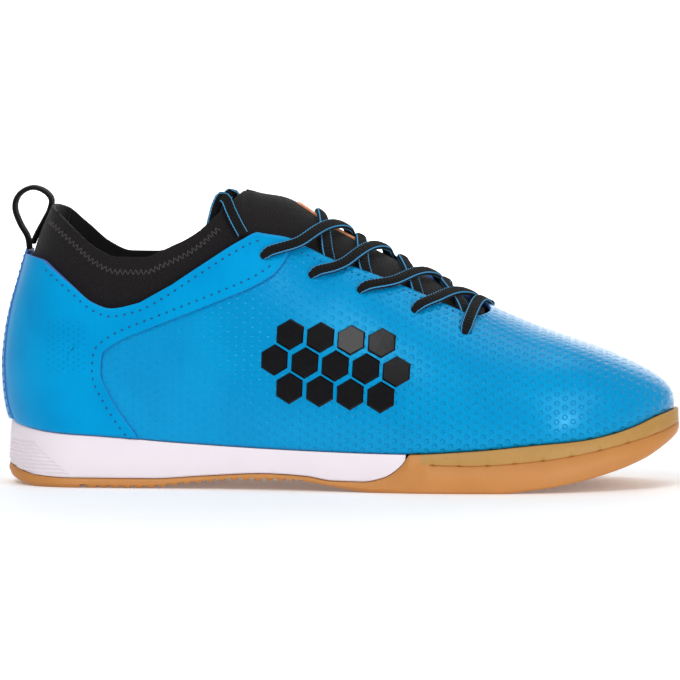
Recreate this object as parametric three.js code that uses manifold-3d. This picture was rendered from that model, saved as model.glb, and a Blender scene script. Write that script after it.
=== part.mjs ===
import * as THREE from 'three';
import { mergeVertices } from 'three/addons/utils/BufferGeometryUtils.js';
import Module from 'manifold-3d';

// Indoor soccer shoe, right foot, size EU 42. Millimetres, +X to the toe, +Z up, +Y to the inner side.
// The origin is on the floor, at the middle of the heel's tread.

const wasm = await Module();
wasm.setup();

// Driving dimensions of the shoe
const length = 290;
const heelSet = 32;
const ballWidth = 98;
const shoeHeight = 130;
const heelStack = 24;

// Walls, clearances and overlays
const gap = 0.3;
const upperWall = 1.8;
const sockWall = 1.8;
const overlayWall = 0.9;
const backstayWall = 1.3;
const insoleThickness = 3;
const soleFlange = 1.8;
const cupWall = 3.2;
const cupFloor = 5;
const treadInset = 1.6;

// Round ends of the plan, measured from the back of the heel and from the tip of the toe
const heelRound = 32;
const toeRound = 58;
const backAt = 0.017;
const tipAt = 0.991;

// Lacing, eyelets, loop and tread
const eyeletHole = 4.2;
const laceDiameter = 3.6;
const laceEndDiameter = 3.4;
const loopThickness = 1.4;
const loopWidth = 11;
const stripWidth = 9;
const stripThickness = 0.9;
const toothPitch = 5.1;
const toothDepth = 1.2;
const ribPitch = 2.4;
const ribHeight = 1.1;
const ribDepth = 0.6;
const grooveWidth = 2.4;
const grooveDepth = 1.6;

// How finely the curved forms are divided
const halfStations = 29;
const formRows = 11;
const cordSides = 8;
const laceSides = 6;
const edgeSteps = 26;

// Plan of the upper where it meets the sole: shares of length and of ballWidth
const planTable = [
  { at: 0.00, centre: 0.000, half: 0.312 },
  { at: 0.11, centre: 0.000, half: 0.316 },
  { at: 0.21, centre: -0.005, half: 0.321 },
  { at: 0.30, centre: -0.020, half: 0.321 },
  { at: 0.40, centre: -0.048, half: 0.334 },
  { at: 0.50, centre: -0.063, half: 0.380 },
  { at: 0.60, centre: -0.051, half: 0.444 },
  { at: 0.66, centre: -0.036, half: 0.474 },
  { at: 0.73, centre: -0.020, half: 0.485 },
  { at: 0.80, centre: -0.008, half: 0.465 },
  { at: 0.90, centre: 0.026, half: 0.428 },
  { at: 1.00, centre: 0.082, half: 0.408 },
];

// Line where upper and sole meet, seen from the side: shares of length and of heelStack
const featherTable = [
  { at: 0.000, height: 1.22 },
  { at: 0.041, height: 1.05 },
  { at: 0.090, height: 0.96 },
  { at: 0.160, height: 0.905 },
  { at: 0.296, height: 0.785 },
  { at: 0.450, height: 0.705 },
  { at: 0.600, height: 0.675 },
  { at: 0.700, height: 0.735 },
  { at: 0.800, height: 0.845 },
  { at: 0.860, height: 0.900 },
  { at: 0.900, height: 0.985 },
  { at: 0.938, height: 1.120 },
  { at: 0.966, height: 1.260 },
  { at: 1.000, height: 1.380 },
];

// Top line of the closed last: height as a share of shoeHeight, ridge as a share of ballWidth
const crestTable = [
  { at: 0.000, height: 1.323, ridge: 0.000 },
  { at: 0.250, height: 1.323, ridge: 0.000 },
  { at: 0.300, height: 1.215, ridge: 0.005 },
  { at: 0.325, height: 1.123, ridge: 0.010 },
  { at: 0.352, height: 1.028, ridge: 0.015 },
  { at: 0.375, height: 0.976, ridge: 0.020 },
  { at: 0.420, height: 0.957, ridge: 0.025 },
  { at: 0.500, height: 0.848, ridge: 0.030 },
  { at: 0.600, height: 0.732, ridge: 0.030 },
  { at: 0.700, height: 0.612, ridge: 0.030 },
  { at: 0.800, height: 0.515, ridge: 0.035 },
  { at: 0.900, height: 0.440, ridge: 0.060 },
  { at: 1.000, height: 0.362, ridge: 0.080 },
];

// Roundness of the sections: powers of the section's curve, and how far its flank swells
const sectionTable = [
  { at: 0.00, across: 0.40, up: 1.00, swell: 0.090 },
  { at: 0.26, across: 0.42, up: 1.00, swell: 0.080 },
  { at: 0.34, across: 0.66, up: 1.00, swell: 0.060 },
  { at: 0.42, across: 0.90, up: 0.98, swell: 0.040 },
  { at: 0.50, across: 1.02, up: 0.96, swell: 0.030 },
  { at: 0.60, across: 1.02, up: 0.94, swell: 0.020 },
  { at: 0.70, across: 0.95, up: 0.92, swell: 0.015 },
  { at: 0.80, across: 0.87, up: 0.86, swell: 0.010 },
  { at: 0.90, across: 0.64, up: 0.67, swell: 0.006 },
  { at: 1.00, across: 0.50, up: 0.52, swell: 0.000 },
];

// How far the back of the heel leans: height as a share of shoeHeight, shift as a share of heelRound
const backTable = [
  { at: 0.18, shift: 0.000 },
  { at: 0.29, shift: -0.030 },
  { at: 0.39, shift: -0.040 },
  { at: 0.48, shift: -0.015 },
  { at: 0.58, shift: 0.045 },
  { at: 0.66, shift: 0.120 },
  { at: 0.75, shift: 0.205 },
  { at: 0.84, shift: 0.310 },
  { at: 0.92, shift: 0.440 },
  { at: 1.00, shift: 0.560 },
  { at: 1.20, shift: 0.720 },
];

// Collar edge of the upper from the side, as shares of length and shoeHeight
const toplineTable = [
  { at: 0.020, height: 0.762 },
  { at: 0.067, height: 0.744 },
  { at: 0.090, height: 0.708 },
  { at: 0.114, height: 0.664 },
  { at: 0.146, height: 0.606 },
  { at: 0.172, height: 0.587 },
  { at: 0.213, height: 0.605 },
  { at: 0.245, height: 0.641 },
  { at: 0.306, height: 0.730 },
  { at: 0.360, height: 0.806 },
  { at: 0.386, height: 0.832 },
  { at: 0.404, height: 0.836 },
];

// Rim of the sock from the side, as shares of length and shoeHeight
const rimTable = [
  { at: 0.040, height: 0.960 },
  { at: 0.084, height: 0.905 },
  { at: 0.118, height: 0.842 },
  { at: 0.148, height: 0.785 },
  { at: 0.180, height: 0.755 },
  { at: 0.222, height: 0.754 },
  { at: 0.246, height: 0.775 },
  { at: 0.276, height: 0.805 },
  { at: 0.300, height: 0.838 },
  { at: 0.320, height: 0.878 },
  { at: 0.345, height: 0.930 },
  { at: 0.372, height: 0.995 },
];

// Hidden lower edge of the sock, as shares of length and shoeHeight
const hemTable = [
  { at: 0.000, height: 0.58 },
  { at: 0.170, height: 0.44 },
  { at: 0.300, height: 0.52 },
  { at: 0.420, height: 0.54 },
  { at: 0.560, height: 0.46 },
  { at: 0.690, height: 0.40 },
];

// Edges of the throat from above: lateral and medial as shares of ballWidth
const throatTable = [
  { at: 0.36, lateral: -0.235, medial: 0.205 },
  { at: 0.42, lateral: -0.228, medial: 0.175 },
  { at: 0.52, lateral: -0.222, medial: 0.145 },
  { at: 0.62, lateral: -0.225, medial: 0.105 },
  { at: 0.69, lateral: -0.225, medial: 0.060 },
];

// Eyelets and lacing from the top pair down, as shares of length: where the upper lace crosses the throat's
// edge and the ridge, and where the lace under it does. The holes' insets are shares of ballWidth
const laceTable = [
  { lateral: 0.393, medial: 0.455, edge: 0.448, crown: 0.507, underCrown: 0.472, dive: 0.491, inset: 0.044 },
  { lateral: 0.464, medial: 0.524, edge: 0.514, crown: 0.564, underCrown: 0.530, dive: 0.545, inset: 0.066 },
  { lateral: 0.535, medial: 0.586, edge: 0.588, crown: 0.638, underCrown: 0.593, dive: 0.621, inset: 0.074 },
  { lateral: 0.615, medial: 0.652, edge: 0.648, crown: 0.693, underCrown: 0.655, dive: 0.692, inset: 0.090 },
  { lateral: 0.690, medial: 0.717, edge: 0.697, crown: 0.710, underCrown: 0.700, dive: 0.700, inset: 0.108 },
];

// Front and lower edge of the heel and quarter panel, as shares of length and shoeHeight
const panelTable = [
  { at: 0.226, height: 0.110 },
  { at: 0.208, height: 0.180 },
  { at: 0.192, height: 0.228 },
  { at: 0.172, height: 0.300 },
  { at: 0.158, height: 0.378 },
  { at: 0.160, height: 0.436 },
  { at: 0.180, height: 0.475 },
  { at: 0.246, height: 0.537 },
  { at: 0.334, height: 0.615 },
  { at: 0.388, height: 0.666 },
  { at: 0.414, height: 0.705 },
  { at: 0.430, height: 0.760 },
  { at: 0.440, height: 0.840 },
];

// Half width of the backstay up the back of the heel, as shares of shoeHeight and ballWidth
const backstayTable = [
  { at: 0.17, half: 0.170 },
  { at: 0.22, half: 0.140 },
  { at: 0.30, half: 0.118 },
  { at: 0.45, half: 0.110 },
  { at: 0.60, half: 0.104 },
  { at: 0.77, half: 0.100 },
];

// Tread line seen from the side: shares of length and heelStack
const treadTable = [
  { at: 0.000, height: 0.30 },
  { at: 0.020, height: 0.12 },
  { at: 0.048, height: 0.02 },
  { at: 0.062, height: 0.00 },
  { at: 0.215, height: 0.00 },
  { at: 0.290, height: 0.09 },
  { at: 0.360, height: 0.17 },
  { at: 0.450, height: 0.17 },
  { at: 0.500, height: 0.09 },
  { at: 0.560, height: 0.00 },
  { at: 0.740, height: 0.00 },
  { at: 0.800, height: 0.07 },
  { at: 0.850, height: 0.17 },
  { at: 0.900, height: 0.32 },
  { at: 0.950, height: 0.54 },
  { at: 0.980, height: 0.76 },
  { at: 1.000, height: 0.95 },
];

// Line between the gum outsole and the pale midsole: shares of length and heelStack
const joinTable = [
  { at: 0.000, height: 0.44 },
  { at: 0.020, height: 0.32 },
  { at: 0.060, height: 0.20 },
  { at: 0.110, height: 0.17 },
  { at: 0.230, height: 0.17 },
  { at: 0.310, height: 0.23 },
  { at: 0.400, height: 0.29 },
  { at: 0.460, height: 0.26 },
  { at: 0.500, height: 0.19 },
  { at: 0.545, height: 0.185 },
  { at: 0.575, height: 0.26 },
  { at: 0.600, height: 0.46 },
  { at: 0.613, height: 0.68 },
];

// Parting step along the forefoot's side wall: shares of length and heelStack
const stepTable = [
  { at: 0.60, height: 0.50 },
  { at: 0.70, height: 0.47 },
  { at: 0.80, height: 0.55 },
  { at: 0.87, height: 0.67 },
  { at: 0.93, height: 0.83 },
  { at: 0.97, height: 0.96 },
  { at: 1.00, height: 1.10 },
];

// Heel loop from the side, from the backstay over the top to the sock: shares of heelRound and shoeHeight
const loopTable = [
  { out: 0.655, height: 0.775 },
  { out: 0.700, height: 0.805 },
  { out: 0.790, height: 0.845 },
  { out: 0.840, height: 0.890 },
  { out: 0.815, height: 0.935 },
  { out: 0.710, height: 0.968 },
  { out: 0.570, height: 0.978 },
  { out: 0.440, height: 0.962 },
  { out: 0.372, height: 0.925 },
];

const colours = {
  upper: '#079bd8',
  panel: '#0a97d4',
  sock: '#221f21',
  lace: '#1b1a1c',
  gum: '#c68a48',
  pale: '#efe6ea',
  insole: '#2b2a2d',
  strip: '#f09a68',
};

// Smooth curve through a table's rows that never overshoots them
function read(table, column, at) {
  const last = table.length - 1;
  if (at <= table[0].at) return table[0][column];
  if (at >= table[last].at) return table[last][column];
  let row = 0;
  while (at > table[row + 1].at) row += 1;
  const slope = (k) => (table[k + 1][column] - table[k][column]) / (table[k + 1].at - table[k].at);
  const tangent = (k) => {
    if (k === 0) return slope(0);
    if (k === last) return slope(last - 1);
    const before = slope(k - 1);
    const after = slope(k);
    return before * after <= 0 ? 0 : (2 * before * after) / (before + after);
  };
  const span = table[row + 1].at - table[row].at;
  const t = (at - table[row].at) / span;
  const rise = t * t * (3 - 2 * t);
  return table[row][column] * (1 - rise) + table[row + 1][column] * rise
    + span * t * (1 - t) * ((1 - t) * tangent(row) - t * tangent(row + 1));
}

const toX = (at) => at * length - heelSet;
const toShare = (x) => (x + heelSet) / length;
const backX = toX(backAt);
const tipX = toX(tipAt);
const heelCentre = backX + heelRound;
const toeCentre = tipX - toeRound;

const feather = (x) => read(featherTable, 'height', toShare(x)) * heelStack;
const crest = (x) => read(crestTable, 'height', toShare(x)) * shoeHeight;
const ridge = (x) => read(crestTable, 'ridge', toShare(x)) * ballWidth;
const tread = (x) => read(treadTable, 'height', toShare(x)) * heelStack;
const join = (x) => read(joinTable, 'height', toShare(x)) * heelStack;
const sideStep = (x) => read(stepTable, 'height', toShare(x)) * heelStack;

// Half width and centre of the plan at x, with both ends rounded
function halfWidth(x) {
  const toHeel = Math.max(0, (heelCentre - x) / heelRound);
  const toToe = Math.max(0, (x - toeCentre) / toeRound);
  const round = Math.sqrt(Math.max(0, 1 - toHeel ** 2)) * Math.sqrt(Math.max(0, 1 - toToe ** 2));
  return read(planTable, 'half', toShare(x)) * ballWidth * round;
}
const centreLine = (x) => read(planTable, 'centre', toShare(x)) * ballWidth;

// Stations from heel to toe, closer together at both round ends
const lastStations = Array.from({ length: halfStations + 1 }, (_, i) => (
  backX + ((tipX - backX) * (1 - Math.cos((Math.PI * i) / halfStations))) / 2));

// The sole has more stations where the midsole's front runs out
const soleStations = [...lastStations, ...joinTable.slice(-5).map((row) => toX(row.at))].sort((a, b) => a - b);

// One loop of plan points from the heel along the outer side to the toe and back along the inner side
function planLoop(out, stations = lastStations) {
  const last = stations.length - 1;
  const raw = [];
  for (let i = 0; i < 2 * last; i += 1) {
    const x = stations[i <= last ? i : 2 * last - i];
    const side = i <= last ? -1 : 1;
    raw.push(new THREE.Vector2(x, centreLine(x) + side * halfWidth(x)));
  }
  return raw.map((point, i) => {
    const before = raw[(i + raw.length - 1) % raw.length];
    const after = raw[(i + 1) % raw.length];
    const along = after.clone().sub(before).normalize();
    return new THREE.Vector2(point.x + along.y * out, point.y - along.x * out);
  });
}

// Section curve of the last above one plan point: row 0 at the sole, the last row on the ridge
function formPoint(edge, row) {
  const kx = Math.min(Math.max(edge.x, heelCentre), toeCentre);
  const ky = ridge(kx);
  const share = toShare(edge.x);
  const angle = (Math.PI / 2) * (row / formRows) ** 1.15;
  const up = row === formRows ? 1 : Math.sin(angle) ** read(sectionTable, 'up', share);
  const flank = read(sectionTable, 'swell', share) * Math.sin(Math.PI * Math.sqrt(up));
  const across = row === formRows ? 0 : Math.cos(angle) ** read(sectionTable, 'across', share) + flank;
  const reach = Math.hypot(edge.x - kx, edge.y - ky) || 1;
  const facingBack = Math.max(0, (kx - edge.x) / reach) ** 2;
  let x = kx + (edge.x - kx) * across;
  const y = ky + (edge.y - ky) * across;
  const foot = feather(edge.x) + gap;
  const z = foot + (crest(x) - foot) * up;
  x += facingBack * across * read(backTable, 'shift', z / shoeHeight) * heelRound;
  return new THREE.Vector3(x, y, z);
}

// The last's surface moved inward by depth, as a grid of rows of points
function formGrid(depth) {
  const loop = planLoop(0);
  const count = loop.length;
  const rows = [];
  for (let row = 0; row <= formRows; row += 1) {
    rows.push(loop.map((edge) => formPoint(edge, row)));
  }
  return rows.map((points, row) => points.map((point, i) => {
    const ahead = rows[row][(i + 1) % count];
    const behind = rows[row][(i + count - 1) % count];
    const above = rows[Math.min(row + 1, formRows)][i];
    const below = rows[Math.max(row - 1, 0)][i];
    const normal = ahead.clone().sub(behind).cross(above.clone().sub(below));
    if (row === 0) normal.z = 0;
    if (row === formRows) {
      const slope = (crest(point.x + 2) - crest(point.x - 2)) / 4;
      normal.set(-slope, 0, 1);
    }
    return point.clone().addScaledVector(normal.normalize(), -depth);
  }));
}

// A manifold solid from corner points and triangles
function solid(points, faces) {
  const geometry = new THREE.BufferGeometry();
  const positions = faces.flatMap((face) => face.flatMap((k) => points[k].toArray()));
  geometry.setAttribute('position', new THREE.Float32BufferAttribute(positions, 3));
  return solidOf(geometry);
}

// A manifold solid from any closed geometry
function solidOf(geometry) {
  const bare = new THREE.BufferGeometry();
  bare.setAttribute('position', (geometry.index ? geometry.toNonIndexed() : geometry).getAttribute('position'));
  const merged = mergeVertices(bare, 1e-4);
  const corners = [];
  const index = merged.index.array;
  for (let k = 0; k < index.length; k += 3) {
    const [a, b, c] = [index[k], index[k + 1], index[k + 2]];
    if (a !== b && b !== c && c !== a) corners.push(a, b, c);
  }
  return new wasm.Manifold(new wasm.Mesh({
    numProp: 3,
    vertProperties: new Float32Array(merged.getAttribute('position').array),
    triVerts: new Uint32Array(corners),
  }));
}

// A closed solid from loops of points stacked from the bottom up, closed by ladders below and above
function stack(loops, closedTop = true) {
  const count = loops[0].length;
  const half = count / 2;
  const points = loops.flat();
  const faces = [];
  for (let row = 0; row + 1 < loops.length; row += 1) {
    for (let i = 0; i < count; i += 1) {
      const next = (i + 1) % count;
      const [a, b] = [row * count + i, row * count + next];
      const [c, d] = [a + count, b + count];
      faces.push([a, b, d], [a, d, c]);
    }
  }
  const ladder = (base, flip) => {
    for (let i = 0; i < half; i += 1) {
      const [a, b] = [base + i, base + i + 1];
      const [c, d] = [base + ((count - i) % count), base + count - i - 1];
      faces.push(...(flip ? [[a, c, d], [a, d, b]] : [[a, d, c], [a, b, d]]));
    }
  };
  ladder(0, true);
  if (closedTop) ladder((loops.length - 1) * count, false);
  return solid(points, faces);
}

// The last as a solid whose surface lies depth inside the upper's outside
function form(depth, drop = 0) {
  const grid = formGrid(depth);
  if (drop > 0) grid.unshift(grid[0].map((point) => new THREE.Vector3(point.x, point.y, point.z - drop)));
  return stack(grid, false);
}

const shell = (outside, inside) => form(outside).subtract(form(inside, heelStack));

// A side view outline drawn through the whole width, its inner side pushed forward by lead
const throughWidth = 2 * ballWidth;
function sidePrism(outline, lead = 0, from = -throughWidth / 2, to = throughWidth / 2) {
  const shape = new THREE.Shape(outline);
  const geometry = new THREE.ExtrudeGeometry(shape, { depth: to - from, bevelEnabled: false });
  const turned = new THREE.Matrix4().set(
    1, 0, -lead, lead * to,
    0, 0, -1, to,
    0, 1, 0, 0,
    0, 0, 0, 1,
  );
  geometry.applyMatrix4(turned);
  return solidOf(geometry);
}

// A plan outline drawn from one height to another
function planPrism(outline, low, high) {
  const geometry = new THREE.ExtrudeGeometry(new THREE.Shape(outline), { depth: high - low, bevelEnabled: false });
  geometry.translate(0, 0, low);
  return solidOf(geometry);
}

const sidePoint = (row) => new THREE.Vector2(toX(row.at), row.height * shoeHeight);

// A smooth run through a table's rows, for edges that are drawn from the side
function smoothSide(table, steps) {
  const curve = new THREE.SplineCurve(table.map(sidePoint));
  return curve.getPoints(steps);
}

// Everything above a side line, from behind the heel to its last point
function above(line) {
  const high = 2 * shoeHeight;
  const first = line[0];
  const last = line[line.length - 1];
  return [
    new THREE.Vector2(-length, high),
    new THREE.Vector2(-length, first.y),
    ...line,
    new THREE.Vector2(last.x, high),
  ];
}

// Height of the last's outside at a place on its flank or top, between the round ends
function surfaceHeight(x, y) {
  const side = y < ridge(x) ? -1 : 1;
  const edge = new THREE.Vector2(x, centreLine(x) + side * halfWidth(x));
  let low = formRows * 0.3;
  let high = formRows;
  for (let k = 0; k < 40; k += 1) {
    const middle = (low + high) / 2;
    const reach = Math.abs(formPoint(edge, middle).y - ridge(x));
    if (reach > Math.abs(y - ridge(x))) low = middle;
    else high = middle;
  }
  return formPoint(edge, (low + high) / 2).z;
}

const throatEdge = (side, x) => read(throatTable, side, toShare(x)) * ballWidth;

// The slot between the two rows of eyelets, seen from above
function throatOutline() {
  const lateral = [];
  const medial = [];
  const steps = 10;
  const start = toX(throatTable[0].at) - heelSet / 2;
  const end = toX(throatTable[throatTable.length - 1].at);
  for (let k = 0; k <= steps; k += 1) {
    const x = start + ((end - start) * k) / steps;
    lateral.push(new THREE.Vector2(x, throatEdge('lateral', x)));
    medial.push(new THREE.Vector2(x, throatEdge('medial', x)));
  }
  const middle = (throatEdge('lateral', end) + throatEdge('medial', end)) / 2;
  const radius = (throatEdge('medial', end) - throatEdge('lateral', end)) / 2;
  const front = [];
  for (let k = 1; k < 8; k += 1) {
    const angle = (Math.PI * k) / 8;
    front.push(new THREE.Vector2(end + 0.7 * radius * Math.sin(angle), middle - radius * Math.cos(angle)));
  }
  return [...lateral, ...front, ...medial.reverse()];
}

// Middle of an eyelet on the upper's outside
function eyelet(side, number, lift = 0) {
  const row = laceTable[number];
  const x = toX(row[side]);
  const outward = side === 'lateral' ? -1 : 1;
  return liftedPoint(x, throatEdge(side, x) + outward * row.inset * ballWidth, lift);
}

// A point above the last's outside, moved out along the surface's own normal
function liftedPoint(x, y, lift) {
  const step = 1;
  const height = surfaceHeight(x, y);
  const slopeX = (surfaceHeight(x + step, y) - surfaceHeight(x - step, y)) / (2 * step);
  const slopeY = (surfaceHeight(x, y + step) - surfaceHeight(x, y - step)) / (2 * step);
  const normal = new THREE.Vector3(-slopeX, -slopeY, 1).normalize();
  return new THREE.Vector3(x, y, height).addScaledVector(normal, lift);
}

// A round cord through a list of points
function tube(points, diameter, steps, sides = cordSides) {
  const section = new THREE.Shape();
  for (let k = 0; k < sides; k += 1) {
    const angle = (2 * Math.PI * k) / sides;
    const corner = [(diameter / 2) * Math.cos(angle), (diameter / 2) * Math.sin(angle)];
    if (k === 0) section.moveTo(...corner);
    else section.lineTo(...corner);
  }
  section.closePath();
  return new THREE.ExtrudeGeometry(section, {
    steps,
    extrudePath: new THREE.CatmullRomCurve3(points, false, 'centripetal'),
    bevelEnabled: false,
  });
}

// Pieces of the upper
const throatCut = planPrism(throatOutline(), heelStack * 1.6, 2 * shoeHeight);
const toplineCut = sidePrism(above(smoothSide(toplineTable, edgeSteps)));
const rimCut = sidePrism(above(smoothSide(rimTable, edgeSteps)));

function eyeletCuts() {
  const cuts = [];
  laceTable.forEach((row, number) => {
    ['lateral', 'medial'].forEach((side) => {
      const inner = eyelet(side, number, -2 * upperWall);
      const outer = eyelet(side, number, 2 * upperWall);
      cuts.push(solidOf(tube([inner, inner.clone().lerp(outer, 0.5), outer], eyeletHole, 2)));
    });
  });
  return cuts;
}

function makeUpper() {
  const open = shell(0, upperWall).subtract(toplineCut).subtract(throatCut);
  return eyeletCuts().reduce((body, cut) => body.subtract(cut), open);
}

function makeSock() {
  const outside = upperWall + gap;
  const hem = smoothSide(hemTable, edgeSteps / 2);
  const kept = [
    new THREE.Vector2(-length, 2 * shoeHeight),
    new THREE.Vector2(-length, hem[0].y),
    ...hem,
    new THREE.Vector2(hem[hem.length - 1].x + heelSet / 4, hem[hem.length - 1].y + heelStack / 4),
    new THREE.Vector2(hem[hem.length - 1].x + heelSet / 4, 2 * shoeHeight),
  ];
  return shell(outside, outside + sockWall).intersect(sidePrism(kept)).subtract(rimCut);
}

// Everything that lies under the sole's upper edge or closer to it than an overlay may come
function underSole() {
  const points = [];
  const steps = 40;
  for (let k = 0; k <= steps; k += 1) {
    const x = THREE.MathUtils.lerp(backX - heelRound / 4, tipX + heelRound / 4, k / steps);
    points.push(new THREE.Vector2(x, feather(x) + 3 * gap));
  }
  return sidePrism([
    new THREE.Vector2(points[0].x, -heelStack),
    new THREE.Vector2(points[steps].x, -heelStack),
    ...points.reverse(),
  ]);
}
const overlayFoot = underSole();

function backstayOutline(extra) {
  const right = backstayTable.map((row) => new THREE.Vector2(row.half * ballWidth + extra, row.at * shoeHeight));
  right.unshift(new THREE.Vector2(right[0].x, 0));
  const left = right.map((point) => new THREE.Vector2(-point.x, point.y)).reverse();
  return [...right, ...left];
}

// A prism along X through the back of the heel only
function backPrism(outline) {
  const geometry = new THREE.ExtrudeGeometry(new THREE.Shape(outline), { depth: heelRound * 2, bevelEnabled: false });
  const turned = new THREE.Matrix4().set(
    0, 0, 1, heelCentre - heelRound * 2.6,
    1, 0, 0, 0,
    0, 1, 0, 0,
    0, 0, 0, 1,
  );
  geometry.applyMatrix4(turned);
  return solidOf(geometry);
}

function makeBackstay() {
  return form(-gap - backstayWall).subtract(form(-gap, heelStack))
    .intersect(backPrism(backstayOutline(0)))
    .subtract(overlayFoot);
}

function makePanel(side) {
  const edge = smoothSide(panelTable, edgeSteps);
  const outline = [
    new THREE.Vector2(-length, 0),
    new THREE.Vector2(edge[0].x, 0),
    ...edge,
    new THREE.Vector2(edge[edge.length - 1].x, shoeHeight * 1.2),
    new THREE.Vector2(-length, shoeHeight * 1.2),
  ];
  const lateral = side === 'lateral';
  const [from, to] = lateral ? [-throughWidth / 2, 0] : [0, throughWidth / 2];
  const region = sidePrism(outline, 0, from, to);
  const pieces = form(-gap - overlayWall).subtract(form(-gap, heelStack))
    .intersect(region)
    .subtract(toplineCut)
    .subtract(throatCut)
    .subtract(overlayFoot)
    .subtract(backPrism(backstayOutline(gap)));
  return eyeletCuts().reduce((body, cut) => body.subtract(cut), pieces);
}

// Pieces of the sole
const ringAt = (out, height) => planLoop(out, soleStations)
  .map((point) => new THREE.Vector3(point.x, point.y, height(point.x)));

const midsoleFront = toX(joinTable[joinTable.length - 1].at);
const outsoleTop = (x) => (x < midsoleFront ? Math.min(join(x), feather(x)) : feather(x));

function makeOutsole() {
  const lowEdge = (x) => tread(x) + Math.min(1.6, (outsoleTop(x) - tread(x)) * 0.35);
  const forefoot = (x) => THREE.MathUtils.smoothstep(toShare(x), 0.58, 0.64);
  const stepLow = (x) => THREE.MathUtils.lerp(lowEdge(x) + 0.2, Math.min(sideStep(x), outsoleTop(x) - 1.5), forefoot(x));
  const stepHigh = (x) => THREE.MathUtils.lerp(lowEdge(x) + 0.4, Math.min(sideStep(x) + 0.8, outsoleTop(x) - 1), forefoot(x));
  const body = stack([
    ringAt(soleFlange - treadInset, tread),
    ringAt(soleFlange + 0.6, lowEdge),
    ringAt(soleFlange + 0.6, stepLow),
    ringAt(soleFlange, stepHigh),
    ringAt(soleFlange - 0.3, outsoleTop),
  ]);
  return outsoleCuts().reduce((sole, cut) => sole.subtract(cut), body.subtract(cupFilling(0)));
}

// What fills the gum cup of the forefoot, clearance smaller than the cup itself
function cupFilling(clearance) {
  const out = -cupWall - clearance;
  return stack([
    ringAt(out, (x) => tread(x) + cupFloor + clearance),
    ringAt(out, (x) => feather(x) + (clearance > 0 ? 0 : heelStack)),
  ]);
}

// Teeth along the arch and the main grooves across the tread
function outsoleCuts() {
  const cuts = [];
  const across = (x, width, depth, lead) => {
    const low = -heelStack;
    const roof = tread(x) + depth;
    return sidePrism([
      new THREE.Vector2(x - width / 2, low),
      new THREE.Vector2(x + width / 2, low),
      new THREE.Vector2(x + width * 0.3, roof),
      new THREE.Vector2(x - width * 0.3, roof),
    ], lead);
  };
  const toothStart = toX(0.235);
  const toothEnd = toX(0.46);
  for (let x = toothStart; x < toothEnd; x += toothPitch) {
    cuts.push(across(x, toothPitch * 0.55, toothDepth, 0));
  }
  [0.035, 0.14].forEach((at) => cuts.push(across(toX(at), grooveWidth, grooveDepth, 0)));
  [0.585, 0.63, 0.675, 0.765, 0.81, 0.855, 0.9].forEach((at) => {
    cuts.push(across(toX(at), grooveWidth, grooveDepth, 0.18));
  });
  return cuts;
}

function makeMidsole() {
  const front = midsoleFront - 1.5;
  const low = (x) => Math.min(join(x) + gap, feather(x) - 0.4);
  const body = stack([
    ringAt(soleFlange + 0.5, low),
    ringAt(soleFlange + 0.4, (x) => THREE.MathUtils.lerp(low(x), feather(x), 0.35)),
    ringAt(soleFlange - 0.4, (x) => THREE.MathUtils.lerp(low(x), feather(x), 0.9)),
    ringAt(soleFlange - 1, feather),
  ]);
  const keep = sidePrism([
    new THREE.Vector2(-length, -heelStack),
    new THREE.Vector2(front, -heelStack),
    new THREE.Vector2(front, 3 * heelStack),
    new THREE.Vector2(-length, 3 * heelStack),
  ]);
  const rear = heelRibCuts().reduce((sole, cut) => sole.subtract(cut), body.intersect(keep));
  return rear.add(cupFilling(gap).subtract(sidePrism([
    new THREE.Vector2(-length, -heelStack),
    new THREE.Vector2(toX(treadTable[9].at), -heelStack),
    new THREE.Vector2(toX(treadTable[9].at), 3 * heelStack),
    new THREE.Vector2(-length, 3 * heelStack),
  ])));
}

// Thin horseshoe grooves around the midsole's heel, longer from row to row
function heelRibCuts() {
  const cuts = [];
  const lowest = heelStack * 0.36;
  const highest = heelStack * 0.94;
  for (let z = lowest; z < highest; z += ribPitch) {
    const reach = toX(0.075 + 0.03 * (highest - z) / (highest - lowest));
    const ring = (out, height) => planLoop(out).map((point) => new THREE.Vector3(point.x, point.y, height));
    const outer = stack([ring(soleFlange + 4, z), ring(soleFlange + 4, z + ribHeight * 0.5)]);
    const inner = stack([
      ring(soleFlange - ribDepth, z - 1),
      ring(soleFlange - ribDepth, z + ribHeight),
    ]);
    const back = sidePrism([
      new THREE.Vector2(-length, 0),
      new THREE.Vector2(reach, 0),
      new THREE.Vector2(reach, 2 * heelStack),
      new THREE.Vector2(-length, 2 * heelStack),
    ]);
    cuts.push(outer.subtract(inner).intersect(back));
  }
  return cuts;
}

function makeInsole() {
  const inset = -(upperWall + 0.8);
  const floor = (x) => feather(x) + gap;
  return stack([
    ringAt(inset, floor),
    ringAt(inset, (x) => floor(x) + insoleThickness * 0.6),
    ringAt(inset - 1.2, (x) => floor(x) + insoleThickness),
  ]);
}

// Laces: crossings over the throat, joined where they meet. Each stop is a place in plan and its lift
function laceBar(stops) {
  const plan = new THREE.CatmullRomCurve3(stops, false, 'centripetal');
  const steps = 3 * (stops.length - 1);
  const points = plan.getPoints(steps).map((stop) => liftedPoint(stop.x, stop.y, stop.z));
  return solidOf(tube(points, laceDiameter, steps, laceSides));
}

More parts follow.
